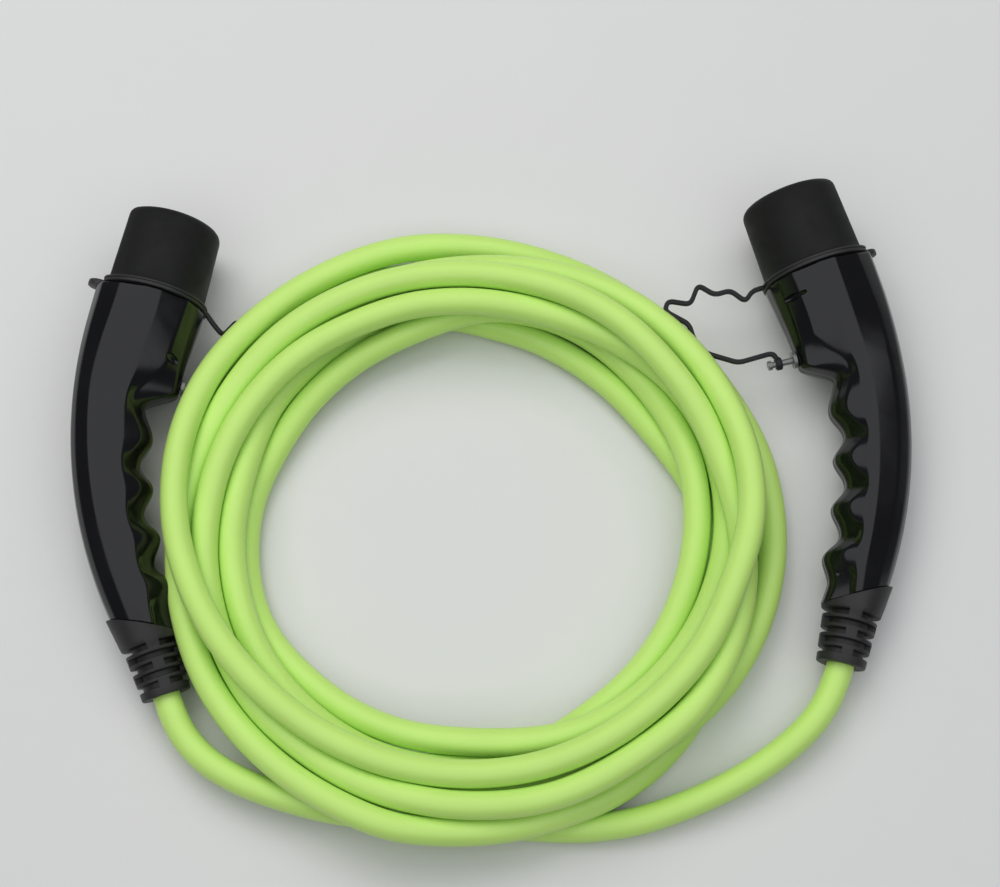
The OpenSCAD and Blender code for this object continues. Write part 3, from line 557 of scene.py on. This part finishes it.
def settle(line, width, steps):
    """Lets the turns lie on the floor and on each other, a cable's width apart, near their traced places."""
    p = line.copy()
    n = len(p)
    seen = line[:, :2]
    flat = np.column_stack([seen, np.zeros(n)])
    in_coil = np.hypot(line[:, 0] - COIL_X, line[:, 1] - COIL_Y) < COIL_REACH
    free = np.ones(n)
    free[:HELD] = free[-HELD:] = 0
    # Points of the same stretch of cable don't push each other
    gap = int(2.2 * width / POINT_STEP)
    for step in range(steps):
        last = step > steps - LAST_ROUNDS
        if step % 8 == 0:
            d = p[:, None, :] - p[None, :, :]
            near = (d ** 2).sum(-1) < (NEAR * width) ** 2
            pairs = np.nonzero(np.triu(near, gap))
        if not last:
            p[:, 2] -= SINK * free
            # A turn that lies higher keeps its place in the picture when it moves towards the camera
            target = seen.copy()
            target[in_coil] -= (seen[in_coil] - VIEW_XY) * ((p[in_coil, 2] - VIEW_Z) / VIEW_H)[:, None]
            p[:, :2] += PULL * free[:, None] * (target - p[:, :2])
        for k, soft in ((1, 0.3), (3, 0.25), (6, 0.2)):
            moved = p - flat
            middle = (moved[:-2 * k] + moved[2 * k:]) / 2
            p[k:-k] += (0.4 if last else 1) * soft * free[k:-k, None] * (middle - moved[k:-k])
        for _ in range(3):
            i, j = pairs
            d = p[i] - p[j]
            far = np.linalg.norm(d, axis=1)
            hit = far < width + CLEAR
            i, j, d, far = i[hit], j[hit], d[hit], np.maximum(far[hit], 1e-6)
            push = d / far[:, None] * ((width + CLEAR - far) * 0.5)[:, None]
            move = np.column_stack([np.bincount(i, axis, n) - np.bincount(j, axis, n) for axis in push.T])
            count = np.bincount(i, minlength=n) + np.bincount(j, minlength=n)
            p += free[:, None] * move / np.maximum(count, 1)[:, None] * 1.3
            for post, reach in POSTS:
                d = p - post
                far = np.linalg.norm(d, axis=1)
                hit = far < reach
                p[hit] += d[hit] / far[hit, None] * (reach - far[hit])[:, None]
            p[:, 2] = np.where(free > 0, np.maximum(p[:, 2], width / 2 + 0.1), p[:, 2])
    return p


def tube_tree():
    """Sweeps a round jacket along a curve: radius, sides and material are its inputs."""
    g = bpy.data.node_groups.new("Cable jacket", "GeometryNodeTree")
    socket(g, "Geometry", "Geometry", "INPUT")
    socket(g, "Radius", "Float", "INPUT", 0.0075)
    socket(g, "Sides", "Int", "INPUT", 24)
    socket(g, "Jacket", "Material", "INPUT")
    socket(g, "Geometry", "Geometry", "OUTPUT")
    n = g.nodes
    start, end = n.new("NodeGroupInput"), n.new("NodeGroupOutput")
    outline, sweep = n.new("GeometryNodeCurvePrimitiveCircle"), n.new("GeometryNodeCurveToMesh")
    sweep.inputs["Fill Caps"].default_value = True
    smooth, realize = n.new("GeometryNodeSetShadeSmooth"), n.new("GeometryNodeRealizeInstances")
    paint = n.new("GeometryNodeSetMaterial")
    wire(start, "Radius", outline, "Radius")
    wire(start, "Sides", outline, "Resolution")
    wire(start, "Geometry", sweep, "Curve")
    wire(outline, "Curve", sweep, "Profile Curve")
    wire(sweep, "Mesh", smooth, "Geometry")
    wire(smooth, "Geometry", realize, "Geometry")
    wire(realize, "Geometry", paint, "Geometry")
    wire(start, "Jacket", paint, "Material")
    wire(paint, "Geometry", end, "Geometry")
    return g


def run_tree(obj, tree, values, name):
    """Runs a geometry tree on a curve and gives its result as a plain mesh object of that name."""
    mod = obj.modifiers.new("Nodes", "NODES")
    mod.node_group = tree
    ids = {s.name: s.identifier for s in tree.interface.items_tree if s.in_out == "INPUT"}
    for key, value in values.items():
        mod[ids[key]] = value
    bpy.context.view_layer.update()
    deps = bpy.context.evaluated_depsgraph_get()
    found = obj.evaluated_get(deps)
    mesh = bpy.data.meshes.new_from_object(found, preserve_all_data_layers=True, depsgraph=deps)
    out = add_object(name, mesh)
    bpy.data.objects.remove(obj)
    return out


def curve_object(name, points):
    curve = bpy.data.curves.new(name, "CURVE")
    curve.dimensions = "3D"
    curve.twist_mode = "Z_UP"
    spline = curve.splines.new("POLY")
    spline.points.add(len(points) - 1)
    for q, p in zip(spline.points, points):
        q.co = (*p, 1)
    return add_object(name, curve)


def need(found, what):
    if not found:
        raise RuntimeError(what + " could not be made")


class CHARGE_OT_camera(Operator):
    """Puts the camera where the photograph was taken from"""
    bl_idname = "charge.camera"
    bl_label = "Camera"

    def execute(self, context):
        cam = bpy.data.cameras.new("Camera")
        cam.lens, cam.sensor_width = LENS, SENSOR
        obj = add_object("Camera", cam)
        obj.location = CAMERA_AT
        obj.rotation_euler = (Vector(LOOK_AT) - obj.location).to_track_quat("-Z", "Y").to_euler()
        context.scene.camera = obj
        return {"FINISHED"}


class CHARGE_OT_cable(Operator):
    """Lays the cable from one boot to the other: two tails and seven turns that rest on each other"""
    bl_idname = "charge.cable"
    bl_label = "Cable"

    def execute(self, context):
        s = context.scene.charge_cable
        line = even_out(through(traced_route(), POINT_STEP), 120)
        line = settle(line, s.diameter / MM, s.settle_steps)
        line = even_out(through(line[::2], POINT_STEP), 25) * MM
        line[:, 2] = np.maximum(line[:, 2], s.diameter / 2 + 0.00005)
        need(len(line) > 100, "The cable's line")
        route = curve_object("cable_line", line)
        cable = run_tree(route, tube_tree(), {"Radius": s.diameter / 2, "Sides": s.sides,
                                              "Jacket": material("Jacket")}, "cable")
        need(len(cable.data.polygons) > 1000, "The cable's jacket")
        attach(cable, "cable")
        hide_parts("cable_coil", "cable_tail_vehicle", "cable_tail_station")
        return {"FINISHED"}


# The handles

def half_outline(s, t):
    """Half of the section at a station: back, spine ridge, flat top, finger ridge and finger side."""
    h = mix(HEAD_H, GRIP_H, ease(s / HEAD_TO))
    m = (h - GRIP_H) / (HEAD_H - GRIP_H)
    thin = min(grip_depth(s) / GRIP_T, 1)
    slow = ease((s - TOP_FROM) / TOP_OVER)
    in_grip = grip_depth(s) + WAVE / 2 * finger_wave(s) - RIDGE_IN_GRIP
    ridge = mix(head_depth(s) - RIDGE_IN_HEAD, in_grip, ease((s - RIDGE_FROM) / RIDGE_OVER))
    # Where two numbers are mixed by m, the first is the grip's and the second the head's
    return [(0, 0), (0, h * mix(.24, .3, m)), (mix(2.5, 3, m), h * mix(.5, .55, m)),
            (mix(9, 12.4, m), h * mix(.77, .8, m)),
            (mix(*SPINE_RIDGE, slow) * thin, h), (mix(*TOP_RIDGE, slow) * thin, h),
            (min(ridge, t - RIDGE_LEAST), h * mix(.77, .78, m)),
            (t - mix(2.5, 4, m), h * mix(.48, .5, m)), (t - mix(0, .5, m), h * .22), (t, 0)], h


def shell_ring(s, seam, soft, edge):
    """Outline of one half at a station, its outside rounded at the ridges, then its inside."""
    a, b = back_point(s - skew(s), 0), back_point(s, depth(s))
    t = float(np.linalg.norm(b - a))
    e = (b - a) / t
    line, h = half_outline(s, t)
    outside = rounded([(seam, 0), (0, seam)] + line[1:-1] + [(t, seam), (t - seam, 0)], soft, 5)
    outside = rounded(outside, 0.2, 2)
    outside = np.array([(edge + x * (t - 2 * edge) / t, y * (h - edge) / h) for x, y in outside])
    n = len(outside)
    if s < SEAT_LEN:
        flat, r = SEAT_FLAT + 0.1, SEAT_R + 0.1
        top = acos(-flat / r)
        on_flat = n // 4
        inside = [(BACK_OFF - flat, r * sin(top) * k / on_flat) for k in range(on_flat)]
        inside += [(BACK_OFF + r * cos(f), r * sin(f)) for f in np.linspace(top, 0, n - on_flat)]
    else:
        wall = mix(HEAD_WALL, WALL, ease((s - HEAD_WALL_TO) / WALL_CHANGE))
        if s >= REAR_WALL_FROM:
            wall = mix(WALL, REAR_WALL, ease((s - REAR_WALL_FROM) / WALL_CHANGE))
        inside = [(wall + x * (t - 2 * wall) / t, y * (h - wall) / h) for x, y in outside]
    ring = list(map(tuple, outside)) + [tuple(q) for q in inside][::-1]
    return [(a[0] + e[0] * x, a[1] + e[1] * x, y) for x, y in ring]


def screw_parts(r, z0, z1):
    """A cylinder at the place of each shell screw."""
    return [loft([[(a + x, b + y, z) for x, y in circle(r, 32)] for z in (z0, z1)], "flat")
            for a, b in (back_point(*at) for at in SHELL_SCREWS)]


def dimple_part(a, b, wide, deep=2.2):
    """A long egg along a line on the skin, to press a shallow oval into a shell."""
    a, b = np.array(a, float), np.array(b, float)
    middle, half = (a + b) / 2, np.linalg.norm(b - a) / 2
    e = (b - a) / (2 * half)
    across = np.cross(e, (0, 1, 0))
    across /= np.linalg.norm(across)
    along = np.cross(across, e)
    rings = []
    for u in np.linspace(-pi / 2, pi / 2, 17)[1:-1]:
        at = middle + e * half * sin(u)
        rings.append([at + along * wide * cos(u) * x + across * deep * cos(u) * y
                      for x, y in circle(1, 24)])
    return loft(rings, "flat")


def carve(obj, parts, side, mirror):
    """Cuts closed parts out of a piece."""
    verts, faces = join_parts(*parts)
    if mirror:
        verts = [(x, y, -z) for x, y, z in verts]
    tool = as_piece("tool", verts, faces, side)
    mod = obj.modifiers.new("Cut", "BOOLEAN")
    mod.operation, mod.solver, mod.object = "DIFFERENCE", "EXACT", tool
    deps = bpy.context.evaluated_depsgraph_get()
    cut = bpy.data.meshes.new_from_object(obj.evaluated_get(deps), depsgraph=deps)
    obj.modifiers.clear()
    old = obj.data
    obj.data = cut
    bpy.data.meshes.remove(old)
    bpy.data.objects.remove(tool)
    shade(cut)


class CHARGE_OT_shells(Operator):
    """Moulds the two halves of each handle, with finger waves, parting line, screw holes and dimples"""
    bl_idname = "charge.shells"
    bl_label = "Handle shells"

    def execute(self, context):
        s = context.scene.charge_handle
        seam, soft, edge = s.seam / MM, s.softness / MM, s.edge / MM
        # Stations along the back with their rounding: dense at both rims and where the seat ends
        rim = [(0, 1), (0.13, 0.5), (0.5, 0.13), (1, 0)]
        places = [(f * edge, g * edge) for f, g in rim] + [(q, 0) for q in np.arange(2.4, 14.6, 1.75)]
        places += [(14.65, 0), (14.75, 0)] + [(q, 0) for q in np.arange(16, 212.6, 1.5)]
        places += [(FINGER_END - f * edge, g * edge) for f, g in reversed(rim)]
        rings = [shell_ring(q, seam, soft, g) for q, g in places]
        verts, faces = loft(rings, "strips")
        for side in SIDES:
            up = SIDES[side]["up"]
            for half, sign in (("upper", up), ("lower", -up)):
                name = f"{side}_{half}_shell"
                obj = as_piece("smooth_" + name, [(x, y, z * sign) for x, y, z in verts], faces, side)
                if half == "lower":
                    carve(obj, screw_parts(SCREW_HEAD_R + 0.3, SCREW_SEAT, 45), side, sign < 0)
                    v, f = join_parts(*screw_parts(4.6, SCREW_SEAT - 2.4, SCREW_SEAT))
                    add_part(obj, [(x, y, z * sign) for x, y, z in v], f, side)
                else:
                    carve(obj, [dimple_part(*d) for d in DIMPLES[side]], side, sign < 0)
                need(len(obj.data.polygons) > 2000, name)
                dress(obj, "Handle plastic")
                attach(obj, "cable")
                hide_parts(name)
        return {"FINISHED"}


def add_part(obj, verts, faces, side):
    """Adds a closed part to a piece's mesh."""
    extra = bpy.data.meshes.new("extra")
    extra.from_pydata(verts, [], faces)
    extra.transform(place(side))
    bm = bmesh.new()
    bm.from_mesh(extra)
    bmesh.ops.recalc_face_normals(bm, faces=bm.faces)
    bm.from_mesh(obj.data)
    bm.to_mesh(obj.data)
    bm.free()
    bpy.data.meshes.remove(extra)
    shade(obj.data)


# Dust caps and noses

def d_line(r, flat, corner=2.2, arc=84, chord=14):
    """A circle with a flat on the back's side, its two corners softened, as X and Z."""
    top = acos(-flat / r) - corner / r
    edge = r * sin(acos(-flat / r))
    pts = [(r * cos(f), r * sin(f)) for f in np.linspace(-top, top, arc)]
    bend = corner_curve(np.array(pts[-1]), np.array((-flat, edge)), np.array((-flat, edge - corner)),
                        (0.25, 0.5, 0.75))
    straight = [(-flat, z) for z in np.linspace(edge - corner, corner - edge, chord)]
    return pts + [tuple(q) for q in bend] + straight + [(x, -z) for x, z in reversed(bend)]


def d_ring(y, r, flat):
    return [(x, y, z) for x, z in d_line(r, flat)]


class CHARGE_OT_caps(Operator):
    """Moulds the dust caps: cup, flange with its lip line and a round pull tab"""
    bl_idname = "charge.caps"
    bl_label = "Dust caps"

    def execute(self, context):
        lip = context.scene.charge_rubber.lip / MM
        out = FLANGE_R - CAP_R
        y0, y1, y2 = CAP_FROM, CAP_FROM + CAP_LEN, CAP_FROM + FLANGE_T
        # The outside from the flange to the floor: place along the nose and distance from the cap's wall
        line = [(y0 + y, q) for y, q in (
            (0, out - 0.4), (.12, out - .12), (.4, out), (.95, out), (1.2, out - lip), (1.9, out - lip),
            (2.15, out), (2.8, out), (3.08, out - .12))]
        line += [(y2 + y, q) for y, q in ((0, out - 0.4), (.02, 0.9), (.3, 0.3), (.9, 0.0))]
        line += [(y, -(y - 4) / 40) for y in np.linspace(8, y1 - 5, 10)]
        line += [(y1 - 5 * (1 - sin(a)), -1 - 5 * (1 - cos(a)))
                 for a in np.radians([18, 36, 54, 72, 90])]
        line += [(y1 - sink, q) for sink, q in ((0, -9), (.35, -9.4), (.35, -9.9), (.35, -15), (.35, -20))]
        outer = [d_ring(y, CAP_R + q, CAP_FLAT + q) for y, q in line]
        floor = CAP_FLOOR + CAP_FROM
        inner = [d_ring(y, CAP_IN_R - q, CAP_IN_FLAT - q)
                 for y, q in ((y0, -.4), (y0 + .4, 0), (20, 0), (43.6, 0), (floor, 1), (floor, 12))]
        verts, faces = loft(list(reversed(outer)) + inner, "flat")
        tab = [[(-FLANGE_FLAT - 2 + x, y, z) for x, z in circle(r, 40)] for y, r in (
            (y0, TAB_R - .5), (y0 + .15, TAB_R - .15), (y0 + .5, TAB_R), (y0 + 2.7, TAB_R),
            (y0 + 3.05, TAB_R - .15), (y2, TAB_R - .5))]
        verts, faces = join_parts((verts, faces), loft(tab, "flat"))
        for side in SIDES:
            obj = as_piece(f"smooth_{side}_cap", verts, faces, side, 40)
            dress(obj, "Cap rubber")
            # The flange and tab get the lighter copy of the cap's rubber: painted light on the flange's rim
            obj.data.materials.append(material("Flange rubber painted lighter"))
            back = place(side).inverted()
            for face in obj.data.polygons:
                face.material_index = int((back @ face.center).y < y2 + 0.1)
            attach(obj, side + "_dust_cap")
            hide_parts(side + "_cap")
        return {"FINISHED"}


class CHARGE_OT_noses(Operator):
    """Turns the noses, round sleeves with a flat, with softened rims"""
    bl_idname = "charge.noses"
    bl_label = "Noses"

    def execute(self, context):
        line = [(-NOSE_SEAT, .8), (-.02, .8), (0, 0), (NOSE_LEN - .9, 0),
                (NOSE_LEN - .3, .25), (NOSE_LEN, .9),
                (NOSE_LEN, NOSE_WALL - .8), (NOSE_LEN - .3, NOSE_WALL - .2), (NOSE_LEN - .9, NOSE_WALL),
                (-NOSE_SEAT, NOSE_WALL)]
        rings = [d_ring(y, NOSE_R - q, NOSE_FLAT - q) for y, q in line]
        verts, faces = loft(rings, "joined")
        lip = [d_ring(*ring) for ring in (
            (-10.5, 24, 20.4), (-10.5, 27, 22.5), (-7.5, 27, 22.5), (-7.5, 24, 20.4))]
        verts, faces = join_parts((verts, faces), loft(lip, "joined"))
        for side in SIDES:
            obj = as_piece(f"smooth_{side}_nose", verts, faces, side, 30)
            dress(obj, "Nose plastic")
            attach(obj, "cable")
            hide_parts(side + "_nose")
        return {"FINISHED"}


# Boots

def boot_width(b):
    """The boot's radius, b millimetres in from its mouth."""
    xs = [0, 0.25, 0.8, SKIRT_FROM - 4, SKIRT_FROM, BOOT_LEN + 10]
    rs = [BOOT_R - 0.8, BOOT_R - 0.25, BOOT_R, BOOT_R + 1.6, BOOT_R + 3, SKIRT_R]
    return float(np.interp(b, xs, rs))


def boot_part(edge):
    """One boot in its own frame, Z from the mouth into the handle, X towards the fingers."""
    half = asin(WEB_W / 2 / BOOT_R)
    turns = set(np.round(np.arange(0, 2 * pi, radians(5)), 5))
    for quarter in range(4):
        for sign in (-1, 1):
            for off in (-0.09, -0.035, -0.008, 0.008, 0.035):
                turns.add(round((quarter * pi / 2 + sign * (half + off)) % (2 * pi), 5))
    turns = sorted(turns)
    levels = [(0, 0, -1), (0.25, 0, -1), (0.8, 0, -1)]
    for k in range(SLOT_ROWS):
        b0 = SLOT_FIRST + k * SLOT_PITCH
        for off, dip in ((-edge, 0), (-edge / 3, .04), (0, .12), (.06, .85), (edge, 1)):
            levels.append((b0 + off, dip, k))
        for off, dip in ((-edge, 1), (-.06, .85), (0, .12), (edge / 3, .04), (edge, 0)):
            levels.append((b0 + SLOT_W + off, dip, k))
    n = np.array((-sin(rear_angle()), cos(rear_angle())))
    rows = []
    for b, dip, k in levels:
        row = []
        for f in turns:
            r = boot_width(b)
            if dip:
                spread = (f - (pi / 2 if k % 2 == 0 else 0)) % pi
                beside = min(spread, pi - spread) - half
                side = min(max((beside + 0.008) / 0.016, 0), 1)
                r = mix(r, SLOT_FLOOR, dip * side)
            row.append((r, b))
        rows.append(row)
    ax = np.array((-BOOT_DIR[1], BOOT_DIR[0]))
    base = float((MOUTH - REAR_MID) @ n)
    rate_x, rate_b = float(ax @ n), float(-BOOT_DIR @ n)

    def at_rear(turn, lift, shrink=0.0):
        """Radius and place where the skirt, made smaller, meets a plane near the handle's rear face."""
        r = boot_width(40) - shrink
        for _ in range(6):
            b = (lift - base - r * cos(turn) * rate_x) / rate_b
            r = boot_width(b) - shrink
        return r, b

    for f in (0.15, 0.3, 0.45, 0.6, 0.75, 0.9, 1.0):
        levels = [mix(SKIRT_FROM, at_rear(turn, -0.35)[1], f) for turn in turns]
        rows.append([(boot_width(b), b) for b in levels])
    for shrink, lift in ((0.25, -0.12), (0.8, -0.05), (4, -0.05)):
        rows.append([at_rear(turn, lift, shrink) for turn in turns])
    for inside in ((NECK_R, NECK_FROM), (NECK_R, NECK_TO), (BORE_R, NECK_TO), (BORE_R, 1), (8.1, 0.2)):
        rows.append([inside] * len(turns))
    rings = [[(r * cos(f), r * sin(f), b) for f, (r, b) in zip(turns, row)] for row in rows]
    return loft(rings, "joined")


def rear_angle():
    d = REAR_FRONT - REAR_BACK
    return atan2(d[1], d[0])


def from_boot(verts):
    """From the boot's frame to the connector's."""
    turn = Matrix.Translation((MOUTH[0], MOUTH[1], 0)) @ Matrix.Rotation(radians(BOOT_ANGLE), 4, "Z")
    turn = turn @ Matrix.Rotation(radians(-90), 4, "X")
    return [tuple(turn @ Vector(v)) for v in verts]


class CHARGE_OT_boots(Operator):
    """Moulds the boots, with rings of slots whose webs turn by a quarter from one to the next"""
    bl_idname = "charge.boots"
    bl_label = "Boots"

    def execute(self, context):
        verts, faces = boot_part(context.scene.charge_rubber.slot_edge / MM)
        verts = from_boot(verts)
        for side in SIDES:
            obj = as_piece(f"smooth_{side}_boot", verts, faces, side, 38)
            dress(obj, "Boot rubber")
            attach(obj, "cable")
            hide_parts(side + "_boot")
        return {"FINISHED"}


# Tethers

def strip_part(points, wide, thick, corner):
    """A strip with rounded edges along points in its plane."""
    pts = [np.array(p, float) for p in points]
    w, t = wide / 2, thick / 2
    profile = rounded([(w, -t), (w, t), (-w, t), (-w, -t)], corner, 4, True)
    rings = []
    for i, p in enumerate(pts):
        a, b = pts[max(i - 1, 0)], pts[min(i + 1, len(pts) - 1)]
        d = (b - a)[:2] / np.linalg.norm((b - a)[:2])
        across = np.array((-d[1], d[0]))
        rings.append([(p[0] + across[0] * u, p[1] + across[1] * u, p[2] + v) for u, v in profile])
    return loft(rings, "flat")


class CHARGE_OT_tethers(Operator):
    """Moulds the tethers, zigzag strips from the flange to an eyelet"""
    bl_idname = "charge.tethers"
    bl_label = "Tethers"

    def execute(self, context):
        wide = context.scene.charge_rubber.tether_width / MM
        pin = back_point(PIN_S, depth(PIN_S))
        slope = tan(radians(PIN_ANGLE))
        eyelet = np.array((*pin, 0)) + np.array((PIN_REACH, PIN_REACH * slope, 0))
        e = np.array((cos(radians(PIN_ANGLE)), sin(radians(PIN_ANGLE)), 0))
        f = np.array((-e[1], e[0], 0))
        start = np.array((pin[0] + 0.3, pin[1], 0))
        rings = [[start + e * (PIN_REACH + z) + f * x + np.array((0, 0, y)) for x, y in circle(r, 36)]
                 for r, z in EYELET]
        for side in SIDES:
            up = SIDES[side]["up"]
            route = [(FLANGE_R - 0.4, TETHER_Y, 0), *[(x, y, z * up) for x, y, z in TETHER[side]],
                     eyelet + (1.5, 6.6, TETHER[side][-1][2] * up * 0.3), eyelet + (0, 2.2, 0)]
            verts, faces = strip_part(rounded(rounded(route, 3.4, 7), 1.0, 3), wide, TETHER_T, 0.8)
            verts, faces = join_parts((verts, faces), loft(rings, "joined"))
            obj = as_piece(f"smooth_{side}_tether", verts, faces, side, 45)
            dress(obj, "Tether rubber")
            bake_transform(obj)
            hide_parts(side + "_tether")
        return {"FINISHED"}


# The finishes of the nodes that keep the solids' shape, the same on both sides but for the towers
INSIDE = {
    "tether_pin": "Pin plastic", "nose_seal": "Seal rubber", "contact_block": "Block plastic",
    "power_contacts": "Silver", "signal_contacts": "Silver", "contact_retainer": "Retainer plastic",
    "coding_resistor": "Resistor", "wires": "Wire jackets", "cable_clamp": "Clamp plastic",
    "clamp_screws": "Screw steel", "shell_screws": "Screw steel",
}


class CHARGE_OT_inside(Operator):
    """Finishes what the CAD gives its shape: pins, contacts, blocks, wires, clamps and screws"""
    bl_idname = "charge.inside"
    bl_label = "Pins, contacts and inside"

    def execute(self, context):
        for side in SIDES:
            finishes = dict(INSIDE, contact_towers="Block plastic") if side == "vehicle" else INSIDE
            for node, name in finishes.items():
                need(f"{side}_{node}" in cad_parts, node)
                repaint(f"{side}_{node}", name)
        return {"FINISHED"}


class CHARGE_OT_stage(Operator):
    """Sets up the pale floor and the soft studio lights"""
    bl_idname = "charge.stage"
    bl_label = "Stage"

    def execute(self, context):
        s = context.scene.charge_stage
        mesh = bpy.data.meshes.new("floor")
        mesh.from_pydata([(-3, -3, 0), (3, -3, 0), (3, 3, 0), (-3, 3, 0)], [], [(0, 1, 2, 3)])
        floor = add_object("floor", mesh)
        mesh.materials.append(finish_material("Floor", tuple(s.floor_colour), (0.6, 0.75), 0.02,
                                              (400.0, 3.0, 2e-5)))
        world = bpy.data.worlds.new("Studio")
        world.use_nodes = True
        give(world.node_tree.nodes["Background"], {"Color": (0.9, 0.93, 1.0, 1), "Strength": 0.12})
        context.scene.world = world
        for name, at, size, power, tint in (
                ("Overhead", (0.0, 0.1, 2.2), 5.0, s.light, (0.97, 0.98, 1.0)),
                ("Key", (-0.5, 0.9, 1.6), 1.3, s.light * 0.16, (1.0, 0.99, 0.97))):
            lamp = bpy.data.lights.new(name, "AREA")
            lamp.shape, lamp.size, lamp.energy, lamp.color = "SQUARE", size, power, tint
            obj = add_object(name, lamp)
            obj.location = at
            obj.rotation_euler = (-Vector(at)).to_track_quat("-Z", "Y").to_euler()
            obj.visible_glossy = name == "Overhead"
        context.scene.view_settings.view_transform = "Standard"
        return {"FINISHED"}


class CHARGE_PT_panel(Panel):
    bl_label = "Charging cable"
    bl_idname = "CHARGE_PT_panel"
    bl_space_type = "VIEW_3D"
    bl_region_type = "UI"
    bl_category = "Charging cable"

    def draw(self, context):
        s = context.scene
        for group in (s.charge_cable, s.charge_handle, s.charge_rubber, s.charge_stage):
            box = self.layout.box()
            for key in group.bl_rna.properties.keys():
                if key not in ("rna_type", "name"):
                    box.prop(group, key)
        for step in STEPS:
            self.layout.operator(step.bl_idname)


STEPS = (CHARGE_OT_camera, CHARGE_OT_cable, CHARGE_OT_shells, CHARGE_OT_caps, CHARGE_OT_noses,
         CHARGE_OT_boots, CHARGE_OT_tethers, CHARGE_OT_inside, CHARGE_OT_stage)
GROUPS = {"charge_cable": CableSettings, "charge_handle": HandleSettings,
          "charge_rubber": RubberSettings, "charge_stage": StageSettings}
CLASSES = (*GROUPS.values(), *STEPS, CHARGE_PT_panel)


def register():
    for cls in CLASSES:
        bpy.utils.register_class(cls)
    for name, cls in GROUPS.items():
        setattr(bpy.types.Scene, name, PointerProperty(type=cls))


def unregister():
    for name in GROUPS:
        delattr(bpy.types.Scene, name)
    for cls in reversed(CLASSES):
        bpy.utils.unregister_class(cls)


def main():
    register()
    bpy.ops.charge.camera()
    bpy.ops.charge.cable()
    bpy.ops.charge.shells()
    bpy.ops.charge.caps()
    bpy.ops.charge.noses()
    bpy.ops.charge.boots()
    bpy.ops.charge.tethers()
    bpy.ops.charge.inside()
    bpy.ops.charge.stage()


if __name__ == "__main__":
    main()
